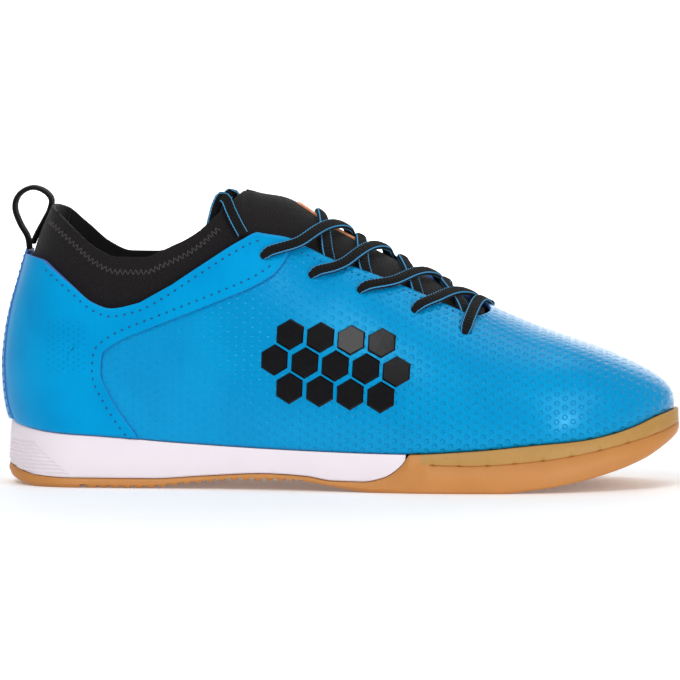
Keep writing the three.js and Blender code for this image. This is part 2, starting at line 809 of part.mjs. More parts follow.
function makeLaces() {
  const rest = laceDiameter / 2 + 3 * gap;
  const onTongue = rest - 2 * gap;
  const over = onTongue + laceDiameter * 0.7;
  const onPanel = rest + overlayWall;
  const lateralEdge = (share, lift) => new THREE.Vector3(toX(share), throatEdge('lateral', toX(share)), lift);
  const onRidge = (share, lift) => new THREE.Vector3(toX(share), ridge(toX(share)), lift);
  const hole = (side, number, lift) => eyelet(side, number).setZ(lift);
  const bars = [];
  laceTable.forEach((row, number) => {
    const lift = number === 0 ? onPanel : rest;
    const next = Math.min(number + 1, laceTable.length - 1);
    bars.push(laceBar([
      hole('lateral', number, lift),
      lateralEdge(row.edge, Math.max(lift, rest + laceDiameter * 0.2)),
      onRidge(row.crown, over),
      hole('medial', next, rest),
    ]));
    if (next > number) {
      bars.push(laceBar([
        hole('medial', number, rest),
        onRidge(row.underCrown, onTongue),
        lateralEdge(row.dive, rest),
      ]));
    }
  });
  return bars.reduce((all, bar) => all.add(bar));
}

// Free lace ends: over the sock's rim and down its inside, points chosen by hand
const laceEndRoutes = {
  lateral: [
    [73.5, -25.0, 107.6], [70.5, -24.8, 113], [68, -23.7, 118], [66, -22.3, 122.2], [64, -20.4, 123],
    [62.2, -19.6, 120], [60.8, -20.2, 115], [59.5, -21.3, 109.5], [58.3, -22.5, 104], [57.3, -23.6, 98],
    [56.5, -24.6, 92],
  ],
  medial: [
    [73.5, 21.0, 107.6], [70.5, 20.7, 113], [68, 20.0, 118], [66, 18.6, 122.2], [64, 16.8, 123],
    [62.2, 15.8, 120], [60.8, 16.4, 115], [59.5, 17.4, 109.5], [58.3, 18.4, 104], [57.3, 19.5, 98],
    [56.5, 20.4, 92],
  ],
};

function makeLaceEnd(side) {
  const points = laceEndRoutes[side].map((place) => new THREE.Vector3(...place));
  return solidOf(tube(points, laceEndDiameter, 14));
}

function makeLoop() {
  const centre = new THREE.SplineCurve(loopTable.map((row) => (
    new THREE.Vector2(-row.out * heelRound, row.height * shoeHeight))));
  const steps = 20;
  const inside = [];
  const outside = [];
  for (let k = 0; k <= steps; k += 1) {
    const point = centre.getPoint(k / steps);
    const along = centre.getTangent(k / steps);
    const offset = new THREE.Vector2(-along.y, along.x).multiplyScalar(loopThickness / 2);
    outside.push(point.clone().add(offset));
    inside.push(point.clone().sub(offset));
  }
  return sidePrism([...outside, ...inside.reverse()], 0, -loopWidth / 2, loopWidth / 2);
}

// Soft strip sewn along the middle of the tongue, under the laces
function makeStrip() {
  const [start, end] = [toX(0.44), toX(0.545)];
  const outline = [start, end].flatMap((x, k) => {
    const middle = ridge(x);
    const halves = k === 0 ? [-1, 1] : [1, -1];
    return halves.map((half) => new THREE.Vector2(x, middle + (half * stripWidth) / 2));
  });
  return form(upperWall - stripThickness).subtract(form(upperWall, heelStack))
    .intersect(planPrism(outline, heelStack * 2, 2 * shoeHeight));
}

// The finished mesh of one piece
function piece(name, body, colour, roughness) {
  const data = body.getMesh();
  const geometry = new THREE.BufferGeometry();
  geometry.setAttribute('position', new THREE.Float32BufferAttribute(Array.from(data.vertProperties), 3));
  geometry.setIndex(Array.from(data.triVerts));
  const mesh = new THREE.Mesh(geometry, new THREE.MeshStandardMaterial({ color: colour, roughness, metalness: 0 }));
  mesh.name = name;
  return mesh;
}

const group = new THREE.Group();
group.add(
  piece('outsole', makeOutsole(), colours.gum, 0.55),
  piece('midsole', makeMidsole(), colours.pale, 0.6),
  piece('insole', makeInsole(), colours.insole, 0.9),
  piece('upper', makeUpper(), colours.upper, 0.4),
  piece('sock', makeSock(), colours.sock, 0.95),
  piece('quarter_panel_lateral', makePanel('lateral'), colours.panel, 0.35),
  piece('quarter_panel_medial', makePanel('medial'), colours.panel, 0.35),
  piece('backstay', makeBackstay(), colours.panel, 0.35),
  piece('pull_loop', makeLoop(), colours.lace, 0.9),
  piece('tongue_strip', makeStrip(), colours.strip, 0.7),
  piece('laces', makeLaces(), colours.lace, 0.9),
  piece('lace_end_lateral', makeLaceEnd('lateral'), colours.lace, 0.9),
  piece('lace_end_medial', makeLaceEnd('medial'), colours.lace, 0.9),
);

export default group;
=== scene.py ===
"""Indoor soccer shoe, right foot, dressed over its CAD frame. Metres, +X to the toe, +Y inner side, +Z up."""

import math

import bpy
import bmesh
import numpy as np
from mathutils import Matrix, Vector


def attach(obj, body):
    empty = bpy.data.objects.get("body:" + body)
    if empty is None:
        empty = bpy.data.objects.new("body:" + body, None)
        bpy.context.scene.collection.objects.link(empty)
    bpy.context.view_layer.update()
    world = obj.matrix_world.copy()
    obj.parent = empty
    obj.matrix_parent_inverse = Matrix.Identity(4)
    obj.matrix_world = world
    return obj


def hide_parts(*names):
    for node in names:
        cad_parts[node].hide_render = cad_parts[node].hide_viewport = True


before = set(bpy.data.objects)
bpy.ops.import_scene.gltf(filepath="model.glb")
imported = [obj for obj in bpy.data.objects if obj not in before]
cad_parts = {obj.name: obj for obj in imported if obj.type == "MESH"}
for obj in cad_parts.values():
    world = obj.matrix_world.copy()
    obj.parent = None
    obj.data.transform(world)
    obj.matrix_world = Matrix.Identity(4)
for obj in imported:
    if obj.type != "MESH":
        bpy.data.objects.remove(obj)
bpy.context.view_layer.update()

MM = 0.001

# Driving dimensions of the shoe
LENGTH = 290 * MM
HEEL_SET = 32 * MM
BALL_WIDTH = 98 * MM
SHOE_HEIGHT = 130 * MM
HEEL_STACK = 24 * MM

# Walls, clearances and overlays
GAP = 0.3 * MM
UPPER_WALL = 1.8 * MM
SOCK_WALL = 1.8 * MM
OVERLAY_WALL = 0.9 * MM
BACKSTAY_WALL = 1.3 * MM
SOLE_FLANGE = 1.8 * MM
HEEL_ROUND = 32 * MM
TOE_ROUND = 58 * MM
BACK_AT = 0.017
TIP_AT = 0.991
CLIMB_POWER = 1.15

# Lacing and loop
LACE_WIDTH = 5.2 * MM
LACE_THICKNESS = 2.5 * MM
LOOP_THICKNESS = 2.2 * MM
LOOP_WIDTH = 11 * MM


def table(columns, *rows):
    """A short table with named columns."""
    return {name: np.array([row[k] for row in rows]) for k, name in enumerate(columns.split())}


class Smooth:
    """Smooth curve through a table's column that never overshoots its rows."""

    def __init__(self, rows, column, key="at"):
        self.at = rows[key]
        self.value = rows[column]
        slope = np.diff(self.value) / np.diff(self.at)
        before, after = slope[:-1], slope[1:]
        same_way = before * after > 0
        total = np.where(same_way, before + after, 1)
        inner = np.where(same_way, 2 * before * after / total, 0)
        self.tangent = np.concatenate([slope[:1], inner, slope[-1:]])

    def __call__(self, at):
        at = np.clip(at, self.at[0], self.at[-1])
        row = np.clip(np.searchsorted(self.at, at, side="right") - 1, 0, len(self.at) - 2)
        span = self.at[row + 1] - self.at[row]
        t = (at - self.at[row]) / span
        rise = t * t * (3 - 2 * t)
        pull = (1 - t) * self.tangent[row] - t * self.tangent[row + 1]
        return self.value[row] * (1 - rise) + self.value[row + 1] * rise + span * t * (1 - t) * pull


# Plan of the upper where it meets the sole: shares of length and of ball width
PLAN = table(
    "at centre half",
    (0.00, 0.000, 0.312), (0.11, 0.000, 0.316), (0.21, -0.005, 0.321), (0.30, -0.020, 0.321),
    (0.40, -0.048, 0.334), (0.50, -0.063, 0.380), (0.60, -0.051, 0.444), (0.66, -0.036, 0.474),
    (0.73, -0.020, 0.485), (0.80, -0.008, 0.465), (0.90, 0.026, 0.428), (1.00, 0.082, 0.408),
)
# Line where upper and sole meet, seen from the side: shares of length and of heel stack
FEATHER = table(
    "at height",
    (0.000, 1.22), (0.041, 1.05), (0.090, 0.96), (0.160, 0.905), (0.296, 0.785), (0.450, 0.705),
    (0.600, 0.675), (0.700, 0.735), (0.800, 0.845), (0.860, 0.900), (0.900, 0.985), (0.938, 1.120),
    (0.966, 1.260), (1.000, 1.380),
)
# Top line of the closed last: height as a share of shoe height, ridge as a share of ball width
CREST = table(
    "at height ridge",
    (0.000, 1.323, 0.000), (0.250, 1.323, 0.000), (0.300, 1.215, 0.005), (0.325, 1.123, 0.010),
    (0.352, 1.028, 0.015), (0.375, 0.976, 0.020), (0.420, 0.957, 0.025), (0.500, 0.848, 0.030),
    (0.600, 0.732, 0.030), (0.700, 0.612, 0.030), (0.800, 0.515, 0.035), (0.900, 0.440, 0.060),
    (1.000, 0.362, 0.080),
)
# Roundness of the sections: powers of the section's curve, and how far its flank swells
SECTION = table(
    "at across up swell",
    (0.00, 0.40, 1.00, 0.090), (0.26, 0.42, 1.00, 0.080), (0.34, 0.66, 1.00, 0.060),
    (0.42, 0.90, 0.98, 0.040), (0.50, 1.02, 0.96, 0.030), (0.60, 1.02, 0.94, 0.020),
    (0.70, 0.95, 0.92, 0.015), (0.80, 0.87, 0.86, 0.010), (0.90, 0.64, 0.67, 0.006),
    (1.00, 0.50, 0.52, 0.000),
)
# How far the back of the heel leans: height as a share of shoe height, shift as a share of heel round
BACK = table(
    "at shift",
    (0.18, 0.000), (0.29, -0.030), (0.39, -0.040), (0.48, -0.015), (0.58, 0.045), (0.66, 0.120),
    (0.75, 0.205), (0.84, 0.310), (0.92, 0.440), (1.00, 0.560), (1.20, 0.720),
)
# Collar edge of the upper and rim of the sock from the side: shares of length and shoe height
TOPLINE = table(
    "at height",
    (0.020, 0.762), (0.067, 0.744), (0.090, 0.708), (0.114, 0.664), (0.146, 0.606), (0.172, 0.587),
    (0.213, 0.605), (0.245, 0.641), (0.306, 0.730), (0.360, 0.806), (0.386, 0.832), (0.404, 0.836),
)
RIM = table(
    "at height",
    (0.040, 0.960), (0.084, 0.905), (0.118, 0.842), (0.148, 0.785), (0.180, 0.755), (0.222, 0.754),
    (0.246, 0.775), (0.276, 0.805), (0.300, 0.838), (0.320, 0.878), (0.345, 0.930), (0.372, 0.995),
)
HEM = table(
    "at height",
    (0.000, 0.58), (0.170, 0.44), (0.300, 0.52), (0.420, 0.54), (0.560, 0.46), (0.690, 0.40),
)
# Edges of the throat from above, as shares of ball width
THROAT = table(
    "at lateral medial",
    (0.36, -0.235, 0.205), (0.42, -0.228, 0.175), (0.52, -0.222, 0.145), (0.62, -0.225, 0.105),
    (0.69, -0.225, 0.060),
)
# Eyelets and crossings from the top pair down, shares of length; the holes' insets are shares of ball width
LACING = table(
    "lateral medial edge crown under_crown dive inset",
    (0.393, 0.455, 0.448, 0.507, 0.472, 0.491, 0.044), (0.464, 0.524, 0.514, 0.564, 0.530, 0.545, 0.066),
    (0.535, 0.586, 0.588, 0.638, 0.593, 0.621, 0.074), (0.615, 0.652, 0.648, 0.693, 0.655, 0.692, 0.090),
    (0.690, 0.717, 0.697, 0.710, 0.700, 0.700, 0.108),
)
# Front and lower edge of the quarter panel from the side, by height
PANEL = table(
    "at height",
    (0.226, 0.110), (0.208, 0.180), (0.192, 0.228), (0.172, 0.300), (0.158, 0.378), (0.160, 0.436),
    (0.180, 0.475), (0.246, 0.537), (0.334, 0.615), (0.388, 0.666), (0.414, 0.705), (0.430, 0.760),
    (0.440, 0.840),
)
# Strip up the heel: half width as a share of ball width, by height as a share of shoe height
BACKSTAY = table(
    "at half",
    (0.17, 0.170), (0.22, 0.140), (0.30, 0.118), (0.45, 0.110), (0.60, 0.104), (0.77, 0.100),
)
# Tread line, line between gum and foam, and parting step of the forefoot's wall: shares of heel stack
TREAD = table(
    "at height",
    (0.000, 0.30), (0.020, 0.12), (0.048, 0.02), (0.062, 0.00), (0.215, 0.00), (0.290, 0.09),
    (0.360, 0.17), (0.450, 0.17), (0.500, 0.09), (0.560, 0.00), (0.740, 0.00), (0.800, 0.07),
    (0.850, 0.17), (0.900, 0.32), (0.950, 0.54), (0.980, 0.76), (1.000, 0.95),
)
JOIN = table(
    "at height",
    (0.000, 0.44), (0.020, 0.32), (0.060, 0.20), (0.110, 0.17), (0.230, 0.17), (0.310, 0.23),
    (0.400, 0.29), (0.460, 0.26), (0.500, 0.19), (0.545, 0.185), (0.575, 0.26), (0.600, 0.46),
    (0.613, 0.68),
)
STEP = table(
    "at height",
    (0.60, 0.50), (0.70, 0.47), (0.80, 0.55), (0.87, 0.67), (0.93, 0.83), (0.97, 0.96), (1.00, 1.10),
)
# Heel loop from the side, up from the backstay, over and down behind the sock: shares of heel round and
# shoe height
LOOP = table(
    "out height",
    (0.641, 0.768), (0.666, 0.808), (0.763, 0.851), (0.834, 0.900), (0.816, 0.933), (0.734, 0.958),
    (0.588, 0.971), (0.435, 0.959), (0.345, 0.933), (0.366, 0.900), (0.455, 0.857), (0.535, 0.821),
    (0.595, 0.788),
)


def to_x(share):
    """x of a share of the length, counted from the back of the heel."""
    return share * LENGTH - HEEL_SET


def to_share(x):
    return (x + HEEL_SET) / LENGTH


def side_line(rows, scale, column="height"):
    """A table's column as a function of x, in metres."""
    curve = Smooth(rows, column)
    return lambda x: curve(to_share(x)) * scale


feather = side_line(FEATHER, HEEL_STACK)
crest = side_line(CREST, SHOE_HEIGHT)
ridge = side_line(CREST, BALL_WIDTH, "ridge")
tread = side_line(TREAD, HEEL_STACK)
join = side_line(JOIN, HEEL_STACK)
wall_step = side_line(STEP, HEEL_STACK)
topline = side_line(TOPLINE, SHOE_HEIGHT)
rim = side_line(RIM, SHOE_HEIGHT)
hem = side_line(HEM, SHOE_HEIGHT)
plan_centre = side_line(PLAN, BALL_WIDTH, "centre")
plan_half = side_line(PLAN, BALL_WIDTH, "half")
throat_lateral = side_line(THROAT, BALL_WIDTH, "lateral")
throat_medial = side_line(THROAT, BALL_WIDTH, "medial")
section_across = side_line(SECTION, 1, "across")
section_up = side_line(SECTION, 1, "up")
section_swell = side_line(SECTION, 1, "swell")
back_shift = Smooth(BACK, "shift")
panel_front = Smooth(PANEL, "at", key="height")
backstay_half = Smooth(BACKSTAY, "half")

BACK_X = to_x(BACK_AT)
TIP_X = to_x(TIP_AT)
HEEL_CENTRE = BACK_X + HEEL_ROUND
TOE_CENTRE = TIP_X - TOE_ROUND
THROAT_END = to_x(THROAT["at"][-1])
THROAT_MIDDLE = float(throat_lateral(THROAT_END) + throat_medial(THROAT_END)) / 2
THROAT_RADIUS = float(throat_medial(THROAT_END) - throat_lateral(THROAT_END)) / 2
THROAT_TIP = THROAT_END + 0.7 * THROAT_RADIUS
SLOT_FROM = to_x(THROAT["at"][0]) - HEEL_SET / 2
COLLAR_FRONT = to_x(TOPLINE["at"][-1])


def half_width(x):
    """Half width of the plan, with both ends rounded."""
    to_heel = np.clip((HEEL_CENTRE - x) / HEEL_ROUND, 0, 1)
    to_toe = np.clip((x - TOE_CENTRE) / TOE_ROUND, 0, 1)
    return plan_half(x) * np.sqrt(1 - to_heel**2) * np.sqrt(1 - to_toe**2)


def edge_x(way):
    """x of the plan's edge; way runs from 0 at the back of the heel to 1 at the tip of the toe."""
    return BACK_X + (TIP_X - BACK_X) * (1 - np.cos(math.pi * way)) / 2


def way_at(x):
    """Way at which the plan's edge has the given x."""
    return np.arccos(np.clip(1 - 2 * (x - BACK_X) / (TIP_X - BACK_X), -1, 1)) / math.pi


def last_point(way, turn):
    """Point of the last; turn runs from -1 at the outer foot line over 0 on the ridge to 1 at the inner."""
    way, turn = np.broadcast_arrays(np.asarray(way, float), np.asarray(turn, float))
    past_end = (way < 0) | (way > 1)
    side = np.where(turn <= 0, -1.0, 1.0) * np.where(past_end, -1.0, 1.0)
    rise = 1 - np.abs(turn)
    ex = edge_x(way)
    ey = plan_centre(ex) + side * half_width(ex)
    kx = np.clip(ex, HEEL_CENTRE, TOE_CENTRE)
    ky = ridge(kx)
    angle = math.pi / 2 * np.clip(rise, 0, 1) ** CLIMB_POWER
    up = np.sin(angle) ** section_up(ex)
    swell = section_swell(ex) * np.sin(math.pi * np.sqrt(up))
    bow = np.clip(np.cos(angle), 0, 1) ** section_across(ex) + swell
    across = np.where(rise >= 1, 0, bow)
    reach = np.maximum(np.hypot(ex - kx, ey - ky), 1e-9)
    facing_back = np.clip((kx - ex) / reach, 0, 1) ** 2
    x = kx + (ex - kx) * across
    y = ky + (ey - ky) * across
    foot = feather(ex) + GAP
    z = foot + (crest(x) - foot) * up
    x = x + facing_back * across * back_shift(z / SHOE_HEIGHT) * HEEL_ROUND
    return np.stack([x, y, z], -1)


def last_normal(way, turn):
    """The last's outward normal, level at the foot line."""
    way, turn = np.broadcast_arrays(np.asarray(way, float), np.asarray(turn, float))
    nudge = 1.5e-3
    high = np.clip(turn + nudge, -1, 1)
    low = np.clip(turn - nudge, -1, 1)
    along = last_point(way + nudge, turn) - last_point(way - nudge, turn)
    over = last_point(way, high) - last_point(way, low)
    normal = np.cross(over, along)
    pole = np.linalg.norm(along, axis=-1) < 2e-7
    point = last_point(way, turn)
    slope = (crest(point[..., 0] + MM) - crest(point[..., 0] - MM)) / (2 * MM)
    normal = np.where(pole[..., None], np.stack([-slope, 0 * slope, 1 + 0 * slope], -1), normal)
    normal[..., 2] = np.where(np.abs(turn) >= 1, 0, normal[..., 2])
    spine = np.clip(point[..., 0], HEEL_CENTRE, TOE_CENTRE)
    heart = np.stack([spine, ridge(point[..., 0]), 0.5 * point[..., 2]], -1)
    outward = np.sign(np.sum(normal * (point - heart), -1))
    outward = np.where(outward == 0, 1, outward)
    return normal * (outward / np.maximum(np.linalg.norm(normal, axis=-1), 1e-12))[..., None]


def skin(way, turn, depth=0.0):
    """Point of the last's surface moved inward by depth."""
    point = last_point(way, turn)
    if np.all(np.asarray(depth) == 0):
        return point
    return point - last_normal(way, turn) * np.asarray(depth)[..., None]


def halve(low, high, past, steps=26):
    """Where past() first holds between low and high, found for whole arrays at once."""
    low = np.array(low, float)
    high = np.array(high, float)
    never = ~past(high)
    for _ in range(steps):
        middle = (low + high) / 2
        beyond = past(middle)
        high = np.where(beyond, middle, high)
        low = np.where(beyond, low, middle)
    return np.where(never, high, (low + high) / 2)


def turn_under(way, side, line, depth=0.0):
    """Turn at which a section climbs past a side line, or the ridge if it never does."""
    def past(turn):
        point = skin(way, turn, depth)
        return point[..., 2] >= line(point[..., 0])

    return halve(np.full_like(way, side), np.zeros_like(way), past)


def turn_at_width(way, y):
    """Turn at which a section reaches the width y."""
    low, high = np.full_like(way, -1.0), np.full_like(way, 1.0)
    return halve(low, high, lambda turn: last_point(way, turn)[..., 1] >= y)


def throat_sides(x):
    """Both edges of the slot between the eyelet rows, closing to one line in front of it."""
    front = np.sqrt(np.clip(1 - ((x - THROAT_END) / (THROAT_TIP - THROAT_END)) ** 2, 0, 1))
    round_low = THROAT_MIDDLE - THROAT_RADIUS * front
    round_high = THROAT_MIDDLE + THROAT_RADIUS * front
    low = np.where(x > THROAT_END, round_low, throat_lateral(x))
    high = np.where(x > THROAT_END, round_high, throat_medial(x))
    fade = np.clip((x - THROAT_TIP) / (TOE_CENTRE - THROAT_TIP), 0, 1)
    seam = THROAT_MIDDLE + (ridge(x) - THROAT_MIDDLE) * fade * fade * (3 - 2 * fade)
    ahead = x >= THROAT_TIP
    return np.where(ahead, seam, low), np.where(ahead, seam, high)


def run_along(points):
    """Distance travelled at each point of a path."""
    return np.concatenate([[0], np.cumsum(np.linalg.norm(np.diff(points, axis=0), axis=1))])


def climb_along(points):
    """Distance travelled along each row of a grid of points."""
    steps = np.linalg.norm(np.diff(points, axis=1), axis=-1)
    return np.concatenate([np.zeros((len(points), 1)), np.cumsum(steps, 1)], 1)


def spread(ways, start, end, rows, depth=0.0):
    """A grid of turns from start to end, evenly spaced along each section."""
    fine = np.linspace(0, 1, 161)
    turns = start[:, None] + (end - start)[:, None] * fine
    run = climb_along(skin(ways[:, None], turns, depth))
    even = np.linspace(0, 1, rows + 1)
    picked = [np.interp(even * length[-1], length, row) for length, row in zip(run, turns)]
    return np.array(picked)


def stations(first, last, pitch, closer=()):
    """x of the sections, denser at the round ends and towards each place in closer."""
    count = int((last - first) / pitch)
    found = [first + (last - first) * k / count for k in range(count + 1)]
    if first <= BACK_X + MM:
        found += list(edge_x(np.linspace(0, way_at(HEEL_CENTRE), int(1.6 * HEEL_ROUND / pitch))))
    if last >= TIP_X - MM:
        found += list(edge_x(np.linspace(way_at(TOE_CENTRE), 1, int(1.6 * TOE_ROUND / pitch))))
    for place in closer:
        found += [place - 6 * MM * (k / 12) ** 2 for k in range(13)]
    found = sorted(x for x in found if first <= x <= last)
    kept = [found[0]]
    for x in found[1:]:
        fan = x < HEEL_CENTRE or x > TOE_CENTRE or any(0 <= place - x < 6.1 * MM for place in closer)
        if x - kept[-1] > (0.004 * MM if fan else 0.45 * pitch):
            kept.append(x)
    return np.array(kept)


# Meshes
DOUBLES_WITHIN = 0.002 * MM


def mesh_piece(name, points, faces, materials, uv, face_material=None):
    """A mesh object from points and faces, its doubles merged."""
    mesh = bpy.data.meshes.new(name)
    mesh.from_pydata([tuple(p) for p in points], [], faces)
    for material in materials:
        mesh.materials.append(material)
    layer = mesh.uv_layers.new(name="flat")
    corners = np.array([loop.vertex_index for loop in mesh.loops])
    layer.data.foreach_set("uv", np.asarray(uv, np.float32)[corners].ravel())
    if face_material is not None:
        mesh.polygons.foreach_set("material_index", face_material)
    mesh.polygons.foreach_set("use_smooth", [True] * len(mesh.polygons))
    work = bmesh.new()
    work.from_mesh(mesh)
    bmesh.ops.remove_doubles(work, verts=work.verts, dist=DOUBLES_WITHIN)
    bmesh.ops.recalc_face_normals(work, faces=work.faces)
    work.to_mesh(mesh)
    work.free()
    obj = bpy.data.objects.new(name, mesh)
    bpy.context.scene.collection.objects.link(obj)
    return obj


def grid_faces(rows, columns, wrap=False):
    """Faces of a grid stored row by row; wrap joins the last row to the first."""
    faces = []
    for i in range(rows if wrap else rows - 1):
        after = (i + 1) % rows
        for j in range(columns - 1):
            a, b = i * columns + j, after * columns + j
            faces.append((a, b, b + 1, a + 1))
    return faces


def closing_faces(rows, columns):
    """Faces that join each row's last point to its first."""
    return [
        (k * columns + columns - 1, k * columns, (k + 1) * columns, (k + 1) * columns + columns - 1)
        for k in range(rows - 1)
    ]


def face_outward(obj):
    """Turns an open sheet's faces away from the last's heart."""
    mesh = obj.data
    total = 0.0
    for face in mesh.polygons:
        heart = Vector((min(max(face.center.x, HEEL_CENTRE), TOE_CENTRE), 0, 0.5 * face.center.z))
        total += face.normal.dot(face.center - heart) * face.area
    if total <= 0:
        mesh.flip_normals()


def wall(obj, thickness, rim_material=0, back_material=0):
    """Gives a sheet its real wall, on its inner side."""
    solid = obj.modifiers.new("wall", "SOLIDIFY")
    solid.thickness = thickness
    solid.offset = -1
    solid.use_even_offset = False
    solid.use_rim = True
    solid.material_offset_rim = rim_material
    solid.material_offset = back_material


def ride(obj, *nodes, slot=None):
    """Ties a finished piece to the shoe's one body and hides the frame's nodes it stands for; slot is not
    used.
    """
    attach(obj, "root")
    if nodes:
        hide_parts(*nodes)
    return obj


# Materials: every finish is a small node tree, its patterns in millimetres


def opaque(value):
    """A colour with its alpha, or another node's output as it is."""
    return value if isinstance(value, bpy.types.NodeSocket) else (*value, 1)


class Finish:
    """A material under construction, with short words for the nodes that the shoe's finishes share."""

    def __init__(self, name, roughness=0.5):
        self.material = bpy.data.materials.new(name)
        self.material.use_nodes = True
        self.tree = self.material.node_tree
        self.shader = self.tree.nodes["Principled BSDF"]
        self.shader.inputs["Roughness"].default_value = roughness

    def join(self, value, socket):
        """Feeds a socket from a number, a colour or another node's output."""
        if isinstance(value, bpy.types.NodeSocket):
            self.tree.links.new(value, socket)
        else:
            socket.default_value = value

    def math(self, operation, *values):
        node = self.tree.nodes.new("ShaderNodeMath")
        node.operation = operation
        for value, socket in zip(values, node.inputs):
            self.join(value, socket)
        return node.outputs[0]

    def between(self, value, low, high, to_low=0.0, to_high=1.0):
        """Smooth step of a value from low to high."""
        node = self.tree.nodes.new("ShaderNodeMapRange")
        node.interpolation_type = "SMOOTHSTEP"
        for number, socket in zip((value, low, high, to_low, to_high), node.inputs):
            self.join(number, socket)
        return node.outputs[0]

    def near(self, value, middle, full, none):
        """1 within full of the middle, falling to 0 at none."""
        away = self.math("ABSOLUTE", self.math("SUBTRACT", value, middle))
        return self.between(away, full, none, 1.0, 0.0)

    def place(self):
        """Object coordinates in millimetres, as three outputs."""
        spot = self.tree.nodes.new("ShaderNodeTexCoord")
        scale = self.tree.nodes.new("ShaderNodeVectorMath")
        scale.operation = "SCALE"
        self.join(spot.outputs["Object"], scale.inputs[0])
        scale.inputs["Scale"].default_value = 1000
        parts = self.tree.nodes.new("ShaderNodeSeparateXYZ")
        self.join(scale.outputs[0], parts.inputs[0])
        return scale.outputs[0], parts.outputs

    def flat(self):
        """The piece's own flat coordinates, in millimetres where they follow the surface."""
        layer = self.tree.nodes.new("ShaderNodeUVMap")
        layer.uv_map = "flat"
        parts = self.tree.nodes.new("ShaderNodeSeparateXYZ")
        self.join(layer.outputs[0], parts.inputs[0])
        return layer.outputs[0], parts.outputs

    def noise(self, vector, scale, detail=3.0):
        node = self.tree.nodes.new("ShaderNodeTexNoise")
        self.join(vector, node.inputs["Vector"])
        node.inputs["Scale"].default_value = scale
        node.inputs["Detail"].default_value = detail
        return node.outputs["Fac"]

    def mix(self, share, first, second):
        node = self.tree.nodes.new("ShaderNodeMix")
        node.data_type = "RGBA"
        self.join(share, node.inputs["Factor"])
        for value, socket in ((first, node.inputs[6]), (second, node.inputs[7])):
            self.join(opaque(value), socket)
        return node.outputs[2]

    def hollows(self, u, v, across, pitch, radius):
        """Round marks in columns, each column half a pitch off its neighbours: 1 in a mark, 0 between."""
        column = self.math("ROUND", self.math("DIVIDE", u, across))
        du = self.math("SUBTRACT", u, self.math("MULTIPLY", column, across))
        odd = self.math("MODULO", self.math("ABSOLUTE", column), 2.0)
        shifted = self.math("ADD", self.math("DIVIDE", v, pitch), self.math("MULTIPLY", odd, 0.5))
        dv = self.math("MULTIPLY", self.math("SUBTRACT", shifted, self.math("ROUND", shifted)), pitch)
        squares = self.math("ADD", self.math("MULTIPLY", du, du), self.math("MULTIPLY", dv, dv))
        return self.between(self.math("SQRT", squares), radius * 0.55, radius * 1.1, 1.0, 0.0)

    def relief(self, height):
        """Bump from a height in millimetres."""
        bump = self.tree.nodes.new("ShaderNodeBump")
        bump.inputs["Distance"].default_value = MM
        bump.inputs["Strength"].default_value = 1.0
        self.join(height, bump.inputs["Height"])
        self.join(bump.outputs[0], self.shader.inputs["Normal"])

    def colour(self, value):
        self.join(opaque(value), self.shader.inputs["Base Color"])
        return self.material

    def rough(self, value):
        self.join(value, self.shader.inputs["Roughness"])


# Round marks in the finishes, in millimetres: columns apart, pitch along a column, radius
HOLLOWS = (3.4, 4.0, 1.12)
PIN_DOTS = (2.2, 2.6, 0.45)
KNIT_LOOPS = (0.8, 0.95, 0.42)
NAP_TUFTS = (1.6, 1.6, 0.5)


def embossed_blue():
    """Coated skin with pressed hollows, deep on the forefoot and faint on the quarter; the hollows carry
    painted shade.
    """
    finish = Finish("embossed_blue", 0.3)
    finish.shader.inputs["Specular IOR Level"].default_value = 0.4
    finish.shader.inputs["Specular Tint"].default_value = (0.25, 0.75, 1.0, 1.0)
    vector, (x, _, z) = finish.place()
    _, (u, v, _) = finish.flat()
    hollow = finish.hollows(u, v, *HOLLOWS)
    ahead = finish.between(finish.math("ADD", x, finish.math("MULTIPLY", z, -0.35)), 35.0, 150.0, 0.3, 1.0)
    depth = finish.math("MULTIPLY", hollow, ahead)
    grain = finish.noise(vector, 2.6, 4.0)
    low = finish.math("MULTIPLY", depth, -0.42)
    finish.relief(finish.math("ADD", low, finish.math("MULTIPLY", grain, 0.05)))
    cloud = finish.noise(vector, 0.03, 2.0)
    base = finish.mix(finish.between(cloud, 0.35, 0.65), (0.0, 0.27, 0.585), (0.0, 0.3, 0.63))
    finish.rough(finish.math("ADD", 0.14, finish.math("MULTIPLY", grain, 0.08)))
    # The hollows are painted a darker blue: painted shade in the recesses.
    return finish.colour(finish.mix(finish.math("MULTIPLY", depth, 0.25), base, (0.0, 0.24, 0.58)))


def smooth_blue():
    """Smooth coated skin of the heel and quarter, with a small field of pin dots."""
    finish = Finish("smooth_blue", 0.36)
    finish.shader.inputs["Specular IOR Level"].default_value = 0.25
    finish.shader.inputs["Specular Tint"].default_value = (0.1, 0.65, 1.0, 1.0)
    vector, (x, _, z) = finish.place()
    dots = finish.hollows(x, z, *PIN_DOTS)
    field = finish.math("MULTIPLY", finish.near(x, -1.5, 7.0, 11.0), finish.near(z, 60.0, 9.0, 14.0))
    pins = finish.math("MULTIPLY", dots, field)
    grain = finish.noise(vector, 2.2, 4.0)
    low = finish.math("MULTIPLY", pins, -0.16)
    finish.relief(finish.math("ADD", low, finish.math("MULTIPLY", grain, 0.07)))
    cloud = finish.noise(vector, 0.04, 2.0)
    base = finish.mix(finish.between(cloud, 0.35, 0.65), (0.0, 0.28, 0.62), (0.0, 0.315, 0.67))
    finish.rough(finish.math("ADD", 0.3, finish.math("MULTIPLY", grain, 0.12)))
    # The pin dots are painted a darker blue: painted shade in the dents.
    return finish.colour(finish.mix(finish.math("MULTIPLY", pins, 0.4), base, (0.0, 0.16, 0.45)))


